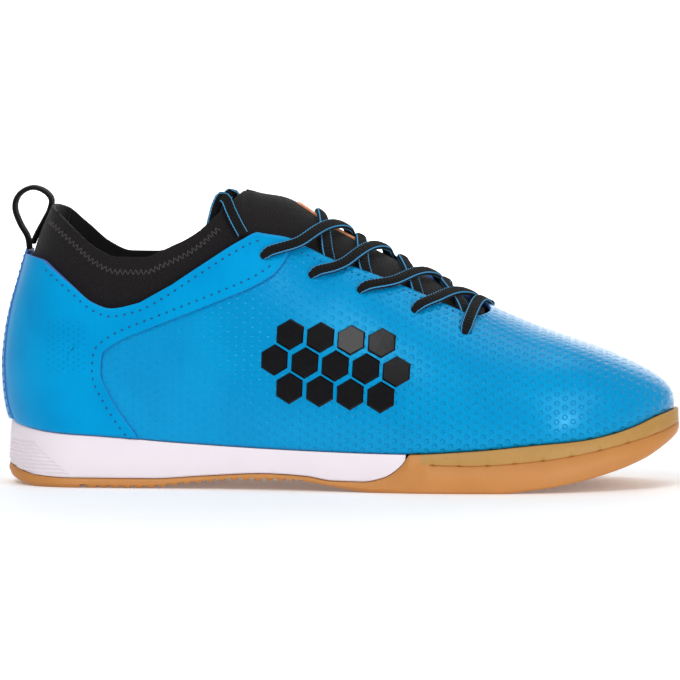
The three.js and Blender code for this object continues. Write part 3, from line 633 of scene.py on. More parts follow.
def raw_edge():
    """Cut edge of the skin, a little fibrous."""
    finish = Finish("raw_edge", 0.75)
    vector, _ = finish.place()
    fibre = finish.noise(vector, 1.7, 5.0)
    finish.relief(finish.math("MULTIPLY", fibre, 0.2))
    return finish.colour(finish.mix(fibre, (0.035, 0.12, 0.46), (0.1, 0.2, 0.66)))


def knit(name, dark, light):
    """Fine knit: rows of small loops, matt with a faint sheen."""
    finish = Finish(name, 0.9)
    finish.shader.inputs["Sheen Weight"].default_value = 0.08
    finish.shader.inputs["Specular IOR Level"].default_value = 0.25
    finish.shader.inputs["Sheen Roughness"].default_value = 0.5
    vector, _ = finish.place()
    _, (u, v, _) = finish.flat()
    loops = finish.hollows(u, v, *KNIT_LOOPS)
    fuzz = finish.noise(vector, 1.4, 4.0)
    high = finish.math("MULTIPLY", loops, 0.16)
    finish.relief(finish.math("ADD", high, finish.math("MULTIPLY", fuzz, 0.1)))
    # Darker between the raised loops is painted shade; the fuzz noise adds random tone on the loops.
    return finish.colour(finish.mix(finish.math("MULTIPLY", loops, fuzz), dark, light))


def braid(name, edge_colour=None):
    """Braided cord: strands across, and a pale thread along both edges where it has a colour."""
    finish = Finish(name, 0.82)
    finish.shader.inputs["Sheen Weight"].default_value = 0.06
    finish.shader.inputs["Specular IOR Level"].default_value = 0.15
    _, (u, v, _) = finish.flat()
    vector, _ = finish.place()
    slant = finish.math("ADD", u, finish.math("MULTIPLY", finish.math("ABSOLUTE", v), 0.9))
    strand = finish.math("SINE", finish.math("MULTIPLY", slant, 2 * math.pi / 0.8))
    fuzz = finish.noise(vector, 2.0, 3.0)
    high = finish.math("MULTIPLY", strand, 0.07)
    finish.relief(finish.math("ADD", high, finish.math("MULTIPLY", fuzz, 0.12)))
    body = finish.mix(fuzz, (0.002, 0.002, 0.002), (0.009, 0.008, 0.008))
    if edge_colour is None:
        return finish.colour(body)
    line = finish.near(finish.math("ABSOLUTE", v), 0.84, 0.05, 0.1)
    return finish.colour(finish.mix(line, body, edge_colour))


def gum_rubber(name, light, dark):
    """Gum rubber, faintly speckled and slightly rubbed."""
    finish = Finish(name, 0.5)
    vector, _ = finish.place()
    speck = finish.noise(vector, 1.3, 5.0)
    cloud = finish.noise(vector, 0.05, 2.0)
    base = finish.mix(cloud, dark, light)
    finish.relief(finish.math("MULTIPLY", speck, 0.09))
    finish.rough(finish.math("ADD", 0.4, finish.math("MULTIPLY", speck, 0.25)))
    spots = finish.math("MULTIPLY", finish.between(speck, 0.62, 0.8), 0.6)
    return finish.colour(finish.mix(spots, base, tuple(0.7 * part for part in dark)))


def pale_foam_skin():
    """Moulded foam with a fine skin and the faintest grey at its foot."""
    finish = Finish("pale_foam_skin", 0.55)
    vector, (_, _, z) = finish.place()
    pores = finish.noise(vector, 2.4, 4.0)
    finish.relief(finish.math("MULTIPLY", pores, 0.05))
    # Greyer towards the bottom of the foam, in cloudy patches.
    grey_low = finish.math("MULTIPLY", finish.noise(vector, 0.08, 3.0), finish.between(z, 4.0, 14.0, 0.3, 0.05))
    return finish.colour(finish.mix(grey_low, (0.87, 0.79, 0.84), (0.6, 0.53, 0.56)))


def woven(name, first, second, pitch):
    """Plain weave."""
    finish = Finish(name, 0.8)
    _, (u, v, _) = finish.flat()
    warp = finish.math("SINE", finish.math("MULTIPLY", u, 2 * math.pi / pitch))
    weft = finish.math("SINE", finish.math("MULTIPLY", v, 2 * math.pi / pitch))
    weave = finish.math("MULTIPLY", warp, weft)
    finish.relief(finish.math("MULTIPLY", weave, 0.12))
    # The weave's low points are painted darker and its crossings lighter: painted shade following the relief.
    return finish.colour(finish.mix(finish.between(weave, -0.8, 0.8), first, second))


TWIST_PITCH = 0.35


def thread(name, colour):
    """Sewing thread, twisted."""
    finish = Finish(name, 0.6)
    _, (x, _, z) = finish.place()
    twist = finish.math("SINE", finish.math("MULTIPLY", finish.math("ADD", x, z), 2 * math.pi / TWIST_PITCH))
    finish.relief(finish.math("MULTIPLY", twist, 0.03))
    # The twist's grooves take a darker copy of the thread colour: painted shade.
    dark = tuple(0.75 * part for part in colour)
    return finish.colour(finish.mix(finish.between(twist, -1.0, 1.0), dark, colour))


def gloss_black():
    """Moulded gloss film of the small tiles."""
    finish = Finish("gloss_black", 0.12)
    vector, _ = finish.place()
    ripple = finish.noise(vector, 0.25, 2.0)
    finish.shader.inputs["Specular IOR Level"].default_value = 0.2
    finish.relief(finish.math("MULTIPLY", ripple, 0.01))
    return finish.colour(finish.mix(ripple, (0.003, 0.003, 0.004), (0.008, 0.008, 0.009)))


def footbed_cloth():
    """Brushed cloth on the footbed."""
    finish = Finish("footbed_cloth", 0.95)
    vector, (x, y, _) = finish.place()
    nap = finish.noise(vector, 1.1, 5.0)
    tufts = finish.hollows(x, y, *NAP_TUFTS)
    high = finish.math("MULTIPLY", nap, 0.2)
    finish.relief(finish.math("ADD", high, finish.math("MULTIPLY", tufts, 0.15)))
    return finish.colour(finish.mix(nap, (0.012, 0.012, 0.014), (0.04, 0.038, 0.042)))


def floor_paint():
    """Matt white paint of the studio floor, glowing a little so that it stays pale."""
    finish = Finish("floor_paint", 0.7)
    finish.shader.inputs["Emission Color"].default_value = (1.0, 1.0, 1.0, 1.0)
    finish.shader.inputs["Emission Strength"].default_value = 0.14
    vector, _ = finish.place()
    finish.rough(finish.math("ADD", 0.6, finish.math("MULTIPLY", finish.noise(vector, 0.01), 0.1)))
    return finish.colour((0.93, 0.93, 0.93))


blue_skin = embossed_blue()
panel_skin = smooth_blue()
cut_edge = raw_edge()
lining = knit("lining_cloth", (0.005, 0.005, 0.005), (0.016, 0.016, 0.017))
sock_cloth = knit("sock_cloth", (0.0035, 0.003, 0.0032), (0.016, 0.012, 0.0135))
lace_braid = braid("lace_braid", (0.06, 0.33, 0.62))
webbing = braid("webbing_weave")
gum = gum_rubber("gum_rubber", (0.6, 0.255, 0.062), (0.52, 0.21, 0.046))
gum_band = gum_rubber("gum_band", (0.5, 0.27, 0.07), (0.43, 0.225, 0.052))
pale_foam = pale_foam_skin()
orange_strip = woven("orange_weave", (0.82, 0.29, 0.12), (0.92, 0.4, 0.2), 0.9)
insole_cloth = footbed_cloth()
navy_thread = thread("navy_thread", (0.004, 0.05, 0.22))
black_thread = thread("black_thread", (0.075, 0.068, 0.07))
tile_gloss = gloss_black()

# Upper: one sheet from the foot line to the collar, the throat and the vamp's middle


def make_upper():
    """The embossed skin, lined inside."""
    x = stations(BACK_X, TIP_X, 1.6 * MM, closer=(THROAT_TIP,))
    ways = way_at(x)
    low, high = throat_sides(x)
    open_top = x < COLLAR_FRONT
    open_slot = x > SLOT_FROM
    lateral = np.where(open_slot, turn_at_width(ways, low), 0.0)
    medial = np.where(open_slot, turn_at_width(ways, high), 0.0)
    lateral = np.where(open_top, np.minimum(lateral, turn_under(ways, -1.0, topline)), lateral)
    medial = np.where(open_top, np.maximum(medial, turn_under(ways, 1.0, topline)), medial)
    fan = x >= TOE_CENTRE
    lateral = np.where(fan, 0.0, lateral)
    medial = np.where(fan, 0.0, medial)
    rows = 60
    outer = spread(ways, np.full_like(ways, -1.0), lateral, rows)
    inner = spread(ways, np.full_like(ways, 1.0), medial, rows)
    loop_ways = np.concatenate([ways, ways[-2:0:-1]])
    loop_turns = np.concatenate([outer, inner[-2:0:-1]])
    points = skin(loop_ways[:, None], loop_turns)
    faces = grid_faces(len(loop_ways), rows + 1, wrap=True)
    flat = points.reshape(-1, 3)
    uv = np.column_stack([flat[:, 0], (climb_along(points) + points[:, :1, 2]).ravel()]) / MM
    upper = mesh_piece("upper_skin", flat, faces, [blue_skin, cut_edge, lining], uv)
    face_outward(upper)
    wall(upper, UPPER_WALL, rim_material=1, back_material=2)
    return ride(upper, "upper", slot="embossed_skin")


make_upper()


def make_sock():
    """Knitted collar and tongue in one, open under the foot."""
    depth = UPPER_WALL + GAP
    front = to_x(HEM["at"][-1]) + HEEL_SET / 4
    top_x = to_x(RIM["at"][-1])
    opening_x = 60 * MM
    level = halve(np.array([opening_x]), np.array([top_x]), lambda x: crest(x) - depth <= rim(x))
    rim_front = float(level[0])
    x = stations(BACK_X, front, 1.8 * MM, closer=(rim_front,))
    ways = way_at(x)
    under_rim = x <= rim_front
    rows = 44
    halves = []
    for side in (-1.0, 1.0):
        start = turn_under(ways, side, hem, depth)
        end = np.where(under_rim, turn_under(ways, side, rim, depth), 0.0)
        halves.append(spread(ways, start, end, rows, depth))
    loop_ways = np.concatenate([ways[::-1], ways[1:]])
    loop_turns = np.concatenate([halves[0][::-1], halves[1][1:]])
    points = skin(loop_ways[:, None], loop_turns, np.full(loop_turns.shape, depth))
    faces = grid_faces(len(loop_ways), rows + 1)
    flat = points.reshape(-1, 3)
    sock = mesh_piece("sock_knit", flat, faces, [sock_cloth], flat[:, [0, 2]] / MM)
    face_outward(sock)
    wall(sock, SOCK_WALL)
    return ride(sock, "sock", slot="sock_knit")


make_sock()


def turn_at_height(way, side, z):
    """Turn at which a section reaches the height z."""
    ex = edge_x(way)
    foot = feather(ex) + GAP
    x = ex
    for _ in range(3):
        up = np.clip((z - foot) / (crest(x) - foot), 0, 1)
        angle = np.arcsin(up ** (1 / section_up(ex)))
        turn = side * (1 - (angle * 2 / math.pi) ** (1 / CLIMB_POWER))
        if np.all(ex <= TOE_CENTRE):
            break
        x = last_point(way, turn)[..., 0]
    return turn


BACKSTAY_HEIGHTS = np.linspace(0.1, 0.84, 50) * SHOE_HEIGHT
BACKSTAY_TOP = SHOE_HEIGHT * 0.766


def backstay_ways(extra):
    """Ways along the heel where its surface is as wide as the backstay, at BACKSTAY_HEIGHTS."""
    wide = backstay_half(BACKSTAY_HEIGHTS / SHOE_HEIGHT) * BALL_WIDTH + extra

    def past(way):
        return last_point(way, turn_at_height(way, 1.0, BACKSTAY_HEIGHTS))[..., 1] >= wide

    return halve(np.zeros_like(wide), np.full_like(wide, way_at(HEEL_CENTRE)), past)


def sheet_piece(name, points, materials):
    """A sheet from a grid of points, facing outward."""
    flat = points.reshape(-1, 3)
    made = mesh_piece(name, flat, grid_faces(*points.shape[:2]), materials, flat[:, [0, 2]] / MM)
    face_outward(made)
    return made


def make_panel(side, name, node):
    """Smooth overlay from the backstay to its curved front edge."""
    columns, rows = 90, 60
    share = np.linspace(0, 1, columns)[:, None]
    back = backstay_ways(GAP)

    def way_of(z):
        left = np.interp(z, BACKSTAY_HEIGHTS, back)
        right = way_at(to_x(panel_front(z / SHOE_HEIGHT)))
        return left + (right - left) * share

    low = np.full((columns, 1), HEEL_STACK * 0.9)
    for _ in range(3):
        low = feather(edge_x(way_of(low))) + 3 * GAP

    def cut(z):
        way = way_of(z)
        point = last_point(way, turn_at_height(way, side, z))
        slot_low, slot_high = throat_sides(point[..., 0])
        over_slot = point[..., 1] >= slot_low if side < 0 else point[..., 1] <= slot_high
        over_slot &= point[..., 0] > SLOT_FROM
        ahead = point[..., 0] > COLLAR_FRONT
        return np.where(ahead, over_slot, (point[..., 2] >= topline(point[..., 0])) | over_slot)

    top = halve(low, np.full_like(low, SHOE_HEIGHT * 0.9), cut)
    z = low + (top - low) * np.linspace(0, 1, rows)[None, :]
    way = way_of(z)
    turn = turn_at_height(way, side, z)
    points = skin(way, turn, np.full(way.shape, -GAP - OVERLAY_WALL))
    panel = sheet_piece(name, points, [panel_skin, cut_edge])
    wall(panel, OVERLAY_WALL, rim_material=1)
    return ride(panel, node, slot="smooth_skin")


make_panel(-1.0, "quarter_panel_outer", "quarter_panel_lateral")
make_panel(1.0, "quarter_panel_inner", "quarter_panel_medial")


def make_backstay():
    """Narrow strip up the back of the heel, over both panels' ends."""
    columns, rows = 33, 70
    z = np.linspace(float(feather(BACK_X)) + 3 * GAP, BACKSTAY_TOP, rows)
    limit = np.interp(z, BACKSTAY_HEIGHTS, backstay_ways(0.0))
    halves = []
    for side in (-1.0, 1.0):
        way = limit[:, None] * np.linspace(0, 1, columns // 2 + 1)[None, :]
        turn = turn_at_height(way, side, np.broadcast_to(z[:, None], way.shape))
        halves.append(skin(way, turn, np.full(way.shape, -GAP - BACKSTAY_WALL)))
    points = np.concatenate([halves[0][:, ::-1], halves[1][:, 1:]], 1)
    strap = sheet_piece("heel_backstay", points, [panel_skin, cut_edge])
    wall(strap, BACKSTAY_WALL, rim_material=1)
    return ride(strap, "backstay", slot="smooth_skin")


make_backstay()

# Sole


def plan_ring(x, out):
    """The plan's loop at the given sections, moved out by out: lateral from heel to toe, medial back."""
    way = np.concatenate([way_at(x), way_at(x[-2:0:-1])])
    side = np.concatenate([np.full(len(x), -1.0), np.full(len(x) - 2, 1.0)])
    at = np.concatenate([x, x[-2:0:-1]])
    y = plan_centre(at) + side * half_width(at)
    nudge = 1e-3

    def edge(w):
        flip = np.where((w < 0) | (w > 1), -1.0, 1.0)
        ex = edge_x(w)
        return np.stack([ex, plan_centre(ex) + side * flip * half_width(ex)], -1)

    along = (edge(way + nudge) - edge(way - nudge)) * -side[:, None]
    along = along / np.linalg.norm(along, axis=-1)[:, None]
    return np.stack([at, y], -1) + np.stack([along[:, 1], -along[:, 0]], -1) * np.asarray(out)[..., None]


def ring_stack(name, x, rings, materials, second=None):
    """A closed body from rings of (out, height), bottom up; out may read x and z, height reads x."""
    loops = []
    base = plan_ring(x, 0.0)
    for out, height in rings:
        amount = out(base[:, 0], height(base[:, 0])) if callable(out) else np.full(len(base), out)
        place = plan_ring(x, amount)
        loops.append(np.column_stack([place, height(place[:, 0])]))
    count = len(base)
    points = np.concatenate(loops)
    faces = grid_faces(len(loops), count) + closing_faces(len(loops), count)
    for first in (0, (len(loops) - 1) * count):
        for i in range(count // 2):
            a, b = first + i, first + i + 1
            c, d = first + count - i - 1, first + (count - i) % count
            faces.append(tuple(dict.fromkeys((a, b, c, d))))
    marks = None
    if second is not None:
        marks = [int(second(min(face) // count, points[face[0], 0])) for face in faces]
    return mesh_piece(name, points, faces, materials, points[:, [0, 2]] / MM, face_material=marks)


MIDSOLE_FRONT = to_x(JOIN["at"][-1])


def gum_top(x):
    """Upper edge of the gum: under the foam at the back, up to the upper in front."""
    return np.where(x < MIDSOLE_FRONT, np.minimum(join(x), feather(x)), feather(x))


TOOTH_PITCH = 5.1 * MM
TOOTH_DEPTH = 0.9 * MM
TEETH_FROM, TEETH_TO = 12 * MM, 98 * MM
WIDE_NOTCHES = (6 * MM, 98 * MM)
WIDE_NOTCH_DEPTH = 1.5 * MM
WIDE_NOTCH_EDGE = (0.9 * MM, 1.9 * MM)
STEP_FROM = (153 * MM, 156 * MM)
STEP_NOTCH_PITCH = 11.5 * MM
STEP_NOTCH_EDGE = (0.5 * MM, 1.1 * MM)
STEP_NOTCHES_END = (246 * MM, 249 * MM)
BAND_BACK = 150 * MM
BAND_FIRST_RING = 9
TREAD_RELIEF = 1.2 * MM


def ease(value, low, high):
    """0 below low, 1 above high, smooth between."""
    t = np.clip((value - low) / (high - low), 0, 1)
    return t * t * (3 - 2 * t)


def teeth(x):
    """How far the sole's lower edge is cut up at x."""
    phase = np.abs(((x - TEETH_FROM) / TOOTH_PITCH) % 1 - 0.5) * 2
    inside = (x > TEETH_FROM) & (x < TEETH_TO)
    cut = np.where(inside, TOOTH_DEPTH * ease(phase, 0.35, 0.75), 0)
    for place in WIDE_NOTCHES:
        cut = np.maximum(cut, WIDE_NOTCH_DEPTH * (1 - ease(np.abs(x - place), *WIDE_NOTCH_EDGE)))
    return cut


def make_outsole():
    """Gum rubber: a thin sole behind, a cup with a stepped wall under the forefoot."""
    x = stations(BACK_X, TIP_X, 0.85 * MM)

    def low_edge(x):
        return tread(x) + np.minimum(1.5 * MM, (gum_top(x) - tread(x)) * 0.35)

    def forefoot(x):
        return ease(to_share(x), 0.58, 0.64)

    def step_line(extra, below_top):
        def height(x):
            rear = low_edge(x) + extra
            return rear + (np.minimum(wall_step(x) + extra, gum_top(x) - below_top) - rear) * forefoot(x)
        return height

    def edge(out, inset=0.0, notch=0.0):
        """The wall's reach: inset in front only, with short notches along the step."""
        def reach(x, z):
            phase = np.abs((x / STEP_NOTCH_PITCH) % 1 - 0.5) * STEP_NOTCH_PITCH
            short = (1 - ease(phase, *STEP_NOTCH_EDGE)) * (1 - ease(x, *STEP_NOTCHES_END))
            return SOLE_FLANGE + out - (inset + notch * short) * ease(x, *STEP_FROM)
        return reach

    rings = [
        (-7.0 * MM, lambda x: tread(x) + TREAD_RELIEF),
        (-6.4 * MM, lambda x: tread(x) + 0.9 * TREAD_RELIEF),
        (-6.0 * MM, lambda x: tread(x) + teeth(x)),
        (edge(-1.2 * MM), lambda x: tread(x) + teeth(x)),
        (edge(-0.3 * MM), lambda x: tread(x) + teeth(x) + 0.25 * MM),
        (edge(0.35 * MM), lambda x: np.maximum(low_edge(x), tread(x) + teeth(x) + 0.4 * MM)),
        (edge(0.5 * MM), step_line(0.10 * MM, 1.7 * MM)),
        (edge(0.5 * MM, inset=0.7 * MM, notch=0.9 * MM), step_line(0.2 * MM, 1.6 * MM)),
        (edge(0.5 * MM, inset=0.7 * MM, notch=0.9 * MM), step_line(0.5 * MM, 1.4 * MM)),
        (edge(0.45 * MM, inset=0.1 * MM, notch=0.4 * MM), step_line(0.75 * MM, 1.2 * MM)),
        (edge(0.4 * MM, inset=0.1 * MM), step_line(1.1 * MM, 1.0 * MM)),
        (edge(0.1 * MM), lambda x: gum_top(x) - 0.25 * MM),
        (edge(-0.4 * MM), gum_top),
        (-1.0 * MM, gum_top),
    ]

    def in_band(ring, at):
        return ring >= BAND_FIRST_RING and at > BAND_BACK

    sole = ring_stack("gum_outsole", x, rings, [gum, gum_band], second=in_band)
    return ride(sole, "outsole", slot="gum_rubber")


HEEL_GROOVES = 9
GROOVE_PITCH = 1.6 * MM
GROOVE_DEPTH = 0.5 * MM
GROOVES_FROM = 5.0 * MM
GROOVES_END = (-9.7 * MM, 14.5 * MM)
GROOVES_SLANT = 1.14
GROOVE_FADE = 1.2 * MM
FOAM_RINGS = 84


def heel_groove(x, z):
    """Depth of the horseshoe grooves round the foam's heel; they end on a slant."""
    row = (z - GROOVES_FROM) / GROOVE_PITCH
    inside = (row > 0) & (row < HEEL_GROOVES)
    end = GROOVES_END[0] - GROOVES_SLANT * (z - GROOVES_END[1])
    deep = 1 - ease(np.abs(row % 1 - 0.5), 0.12, 0.38)
    return np.where(inside, GROOVE_DEPTH * deep * (1 - ease(x, end - GROOVE_FADE, end)), 0)


def make_midsole():
    """Pale foam from the heel to the ball, grooved round the heel."""
    x = stations(BACK_X, MIDSOLE_FRONT - 1.5 * MM, 1.2 * MM)
    x = np.append(x, MIDSOLE_FRONT - 1.4 * MM)

    def low(x):
        return np.minimum(join(x) + GAP, feather(x) - 0.4 * MM)

    def height(share):
        return lambda x: low(x) + (feather(x) - low(x)) * share

    def reach(share):
        crown = SOLE_FLANGE + 0.45 * MM - 1.3 * MM * share**2 - 0.5 * MM * (1 - ease(share, 0, 0.05))
        return lambda x, z: crown - heel_groove(x, z)

    rings = [(reach(share), height(share)) for share in np.linspace(0, 1, FOAM_RINGS)]
    rings = [(-2 * MM, low)] + rings + [(-2 * MM, feather)]
    foam = ring_stack("foam_midsole", x, rings, [pale_foam])
    return ride(foam, "midsole", slot="pale_foam")


make_outsole()
make_midsole()

# Laces


def surface_frame(x, y):
    """Point and normal of the last at a place in plan, on its flank or top."""
    way = way_at(np.asarray(x, float))
    turn = turn_at_width(way, np.asarray(y, float))
    return last_point(way, turn), last_normal(way, turn)


def throat_edge(side, x):
    """The throat's edge from above at x."""
    return float(throat_lateral(x) if side == "lateral" else throat_medial(x))


def eyelet_place(side, number):
    """Place of an eyelet in plan, counted from the top pair."""
    x = to_x(LACING[side][number])
    outward = -1 if side == "lateral" else 1
    return x, throat_edge(side, x) + outward * LACING["inset"][number] * BALL_WIDTH


def smooth_path(stops, spacing):
    """A centripetal curve through the stops, sampled evenly."""
    stops = np.array(stops, float)
    full = np.vstack([2 * stops[0] - stops[1], stops, 2 * stops[-1] - stops[-2]])
    knots = np.concatenate([[0], np.cumsum(np.linalg.norm(np.diff(full, axis=0), axis=1) ** 0.5)])
    found = []
    for k in range(1, len(full) - 2):
        for t in np.linspace(knots[k], knots[k + 1], 24, endpoint=False):
            p0, p1, p2, p3 = full[k - 1:k + 3]
            t0, t1, t2, t3 = knots[k - 1:k + 3]
            a1 = (t1 - t) / (t1 - t0) * p0 + (t - t0) / (t1 - t0) * p1
            a2 = (t2 - t) / (t2 - t1) * p1 + (t - t1) / (t2 - t1) * p2
            a3 = (t3 - t) / (t3 - t2) * p2 + (t - t2) / (t3 - t2) * p3
            b1 = (t2 - t) / (t2 - t0) * a1 + (t - t0) / (t2 - t0) * a2
            b2 = (t3 - t) / (t3 - t1) * a2 + (t - t1) / (t3 - t1) * a3
            found.append((t2 - t) / (t2 - t1) * b1 + (t - t1) / (t2 - t1) * b2)
    found.append(stops[-1])
    found = np.array(found)
    run = run_along(found)
    even = np.linspace(0, run[-1], max(3, int(run[-1] / spacing) + 1))
    return np.column_stack([np.interp(even, run, found[:, k]) for k in range(found.shape[1])])


FLATNESS = 0.8


def ribbon(
    name, centres, outward, width, thickness, material, sides=12, rib=0.0, pitch=1.6 * MM, narrow=None
):
    """A flat cord along its centres, its broad side facing outward; rib is how deep its cross ribs are."""
    along = np.gradient(centres, axis=0)
    along /= np.linalg.norm(along, axis=1)[:, None]
    outward = outward / np.linalg.norm(outward, axis=1)[:, None]
    sideways = np.cross(outward, along)
    strength = np.linalg.norm(sideways, axis=1)
    clear = np.flatnonzero(strength > 0.5)
    nearest = clear[np.argmin(np.abs(np.arange(len(centres))[:, None] - clear[None, :]), axis=1)]
    sideways = sideways[nearest] / strength[nearest][:, None]
    up = np.cross(along, sideways)
    up /= np.linalg.norm(up, axis=1)[:, None]
    sideways = np.cross(up, along)
    run = run_along(centres)
    ribs = rib * np.cos(2 * math.pi * run / pitch)
    narrow = np.ones(len(centres)) if narrow is None else narrow
    points, uv = [], []
    for k, centre in enumerate(centres):
        for angle in (2 * math.pi * i / sides for i in range(sides)):
            a = math.copysign(abs(math.cos(angle)) ** FLATNESS, math.cos(angle))
            b = math.copysign(abs(math.sin(angle)) ** FLATNESS, math.sin(angle))
            across = sideways[k] * a * (width / 2 + ribs[k]) * narrow[k]
            points.append(centre + across + up[k] * b * (thickness / 2 + ribs[k]))
            uv.append((run[k] / MM, a))
    faces = grid_faces(len(centres), sides) + closing_faces(len(centres), sides)
    faces.append(tuple(range(sides)))
    faces.append(tuple(range((len(centres) - 1) * sides, len(centres) * sides)))
    return mesh_piece(name, points, faces, [material], uv)


LACE_RIB = 0.16 * MM
# Heights of a lace's middle along its run, from where it would lie on the skin
LACE_LIFT = {
    "edge": 0.5 * MM, "crown": -0.6 * MM, "past_crown": -1.5 * MM, "beneath": -1.7 * MM,
    "dive": -2.9 * MM, "hidden": -4.8 * MM,
}
HOLE_PINCH = 0.38
PINCH_RUN = (1.5 * MM, 6 * MM)


def lace_run(name, stops, ends):
    """One crossing. Each stop is a place in plan and its lift; ends says which ends go down a hole."""
    path = smooth_path([(x / MM, y / MM, lift / MM) for x, y, lift in stops], 0.4) * MM
    points, normals = surface_frame(path[:, 0], path[:, 1])
    centres = points + normals * path[:, 2:3]
    run = run_along(centres)
    narrow = np.ones(len(centres))
    if "start" in ends:
        narrow -= HOLE_PINCH * (1 - ease(run, *PINCH_RUN))
    if "end" in ends:
        narrow -= HOLE_PINCH * (1 - ease(run[-1] - run, *PINCH_RUN))
    return ribbon(name, centres, normals, LACE_WIDTH, LACE_THICKNESS, lace_braid, rib=LACE_RIB, narrow=narrow)


def into_hole(side, number, toward, rest):
    """Stops that lead a lace down its hole, the last of them inside."""
    hole = np.array(eyelet_place(side, number))
    way = np.array(toward) - hole
    way = way / np.linalg.norm(way)
    return [
        (*(hole + way * 2.6 * MM), rest),
        (*(hole + way * 0.5 * MM), rest - 1.3 * MM),
        (*(hole - way * 0.4 * MM), rest - 4 * MM),
    ]


def make_laces():
    """Runs over the throat from the outer eyelets, and the runs back beneath them."""
    rest = LACE_THICKNESS / 2 + 0.1 * MM
    made = []
    last = len(LACING["edge"]) - 1
    for k in range(last + 1):
        after = min(k + 1, last)
        lift = rest + (OVERLAY_WALL + GAP if k == 0 else 0)
        crown_x, edge_at = to_x(LACING["crown"][k]), to_x(LACING["edge"][k])
        crown = (crown_x, float(ridge(crown_x)))
        edge = (edge_at, throat_edge("lateral", edge_at))
        made.append(lace_run(f"lace_over_{k + 1}", [
            *into_hole("lateral", k, edge, lift)[::-1],
            (*edge, lift + LACE_LIFT["edge"]),
            (*crown, rest + LACE_LIFT["crown"]),
            (crown_x + 2 * MM, crown[1] + 8 * MM, rest + LACE_LIFT["past_crown"]),
            *into_hole("medial", after, crown, rest),
        ], ("start", "end")))
        if after > k:
            crown_x, dive_x = to_x(LACING["under_crown"][k]), to_x(LACING["dive"][k])
            crown = (crown_x, float(ridge(crown_x)))
            dive_y = throat_edge("lateral", dive_x)
            made.append(lace_run(f"lace_under_{k + 1}", [
                *into_hole("medial", k, crown, rest)[::-1],
                (*crown, rest + LACE_LIFT["beneath"]),
                (dive_x - 1.5 * MM, dive_y + 3 * MM, rest + LACE_LIFT["beneath"]),
                (dive_x, dive_y, rest + LACE_LIFT["dive"]),
                (dive_x + MM, dive_y - 4 * MM, rest + LACE_LIFT["hidden"]),
            ], ("start",)))
    for piece in made:
        ride(piece, slot="lace_cord")
    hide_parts("laces")


make_laces()

# Free lace ends: the same listed routes as the frame's, over the rim and down inside
LACE_END_ROUTES = {
    "lateral": [
        (73.5, -25.0, 107.6), (70.5, -24.8, 113), (68, -23.7, 118), (66, -22.3, 122.2), (64, -20.4, 123),
        (62.2, -19.6, 120), (60.8, -20.2, 115), (59.5, -21.3, 109.5), (58.3, -22.5, 104), (57.3, -23.6, 98),
        (56.5, -24.6, 92),
    ],
    "medial": [
        (73.5, 21.0, 107.6), (70.5, 20.7, 113), (68, 20.0, 118), (66, 18.6, 122.2), (64, 16.8, 123),
        (62.2, 15.8, 120), (60.8, 16.4, 115), (59.5, 17.4, 109.5), (58.3, 18.4, 104), (57.3, 19.5, 98),
        (56.5, 20.4, 92),
    ],
}
LACE_END_WIDTH = 5.0 * MM
LACE_END_THICKNESS = 2.0 * MM
LACE_END_RIB = 0.12 * MM


def make_lace_end(side):
    """One free end, from its top eyelet over the rim."""
    centres = smooth_path(LACE_END_ROUTES[side], 0.5) * MM
    away = -1.0 if side == "lateral" else 1.0
    outward = np.tile([0.35, away, 0.0], (len(centres), 1))
    piece = ribbon(
        f"lace_end_{side}_braid", centres, outward, LACE_END_WIDTH, LACE_END_THICKNESS, lace_braid,
        rib=LACE_END_RIB,
    )
    ride(piece, f"lace_end_{side}", slot="lace_cord")


for lace_side in LACE_END_ROUTES:
    make_lace_end(lace_side)


def make_loop():
    """Webbing loop at the heel, from the backstay over and down to an end just above it."""
    route = [
        (-out * HEEL_ROUND / MM, 0.0, height * SHOE_HEIGHT / MM)
        for out, height in zip(LOOP["out"], LOOP["height"])
    ]
    centres = smooth_path(route, 0.6) * MM
    along = np.gradient(centres, axis=0)
    outward = np.cross(along, np.tile([0.0, 1.0, 0.0], (len(centres), 1)))
    outward *= -np.sign(outward[:1, :1])
    piece = ribbon(
        "heel_pull_loop", centres, outward, LOOP_WIDTH, LOOP_THICKNESS, webbing,
        sides=20, rib=0.06 * MM, pitch=1.1 * MM,
    )
    ride(piece, "pull_loop", slot="webbing")


make_loop()


STRIP_FROM, STRIP_TO = to_x(0.44), to_x(0.545)
STRIP_HALF = 4 * MM
STRIP_WALL = 0.6 * MM


def make_strip():
    """Soft strip along the middle of the tongue."""
    x = np.linspace(STRIP_FROM, STRIP_TO, 40)
    offsets = np.linspace(-STRIP_HALF, STRIP_HALF, 13)
    xs, off = np.meshgrid(x, offsets, indexing="ij")
    way = way_at(xs)
    turn = turn_at_width(way, ridge(xs) + off)
    points = skin(way, turn, np.full(way.shape, UPPER_WALL - 0.3 * MM))
    strip = sheet_piece("tongue_ribbon", points, [orange_strip])
    wall(strip, STRIP_WALL)
    return ride(strip, "tongue_strip", slot="strip_cloth")


make_strip()

# What repeats: stitches along seams, tiles on the quarter, lugs on the tread


def new_tree(name, sizes):
    """An empty geometry tree with a Geometry input, named sizes, a Material input and a Geometry output."""
    tree = bpy.data.node_groups.new(name, "GeometryNodeTree")
    tree.interface.new_socket("Geometry", in_out="INPUT", socket_type="NodeSocketGeometry")
    for size, value in sizes.items():
        tree.interface.new_socket(size, in_out="INPUT", socket_type="NodeSocketFloat").default_value = value
    tree.interface.new_socket("Material", in_out="INPUT", socket_type="NodeSocketMaterial")
    tree.interface.new_socket("Geometry", in_out="OUTPUT", socket_type="NodeSocketGeometry")
    return tree, tree.nodes.new("NodeGroupInput").outputs, tree.nodes.new("NodeGroupOutput").inputs


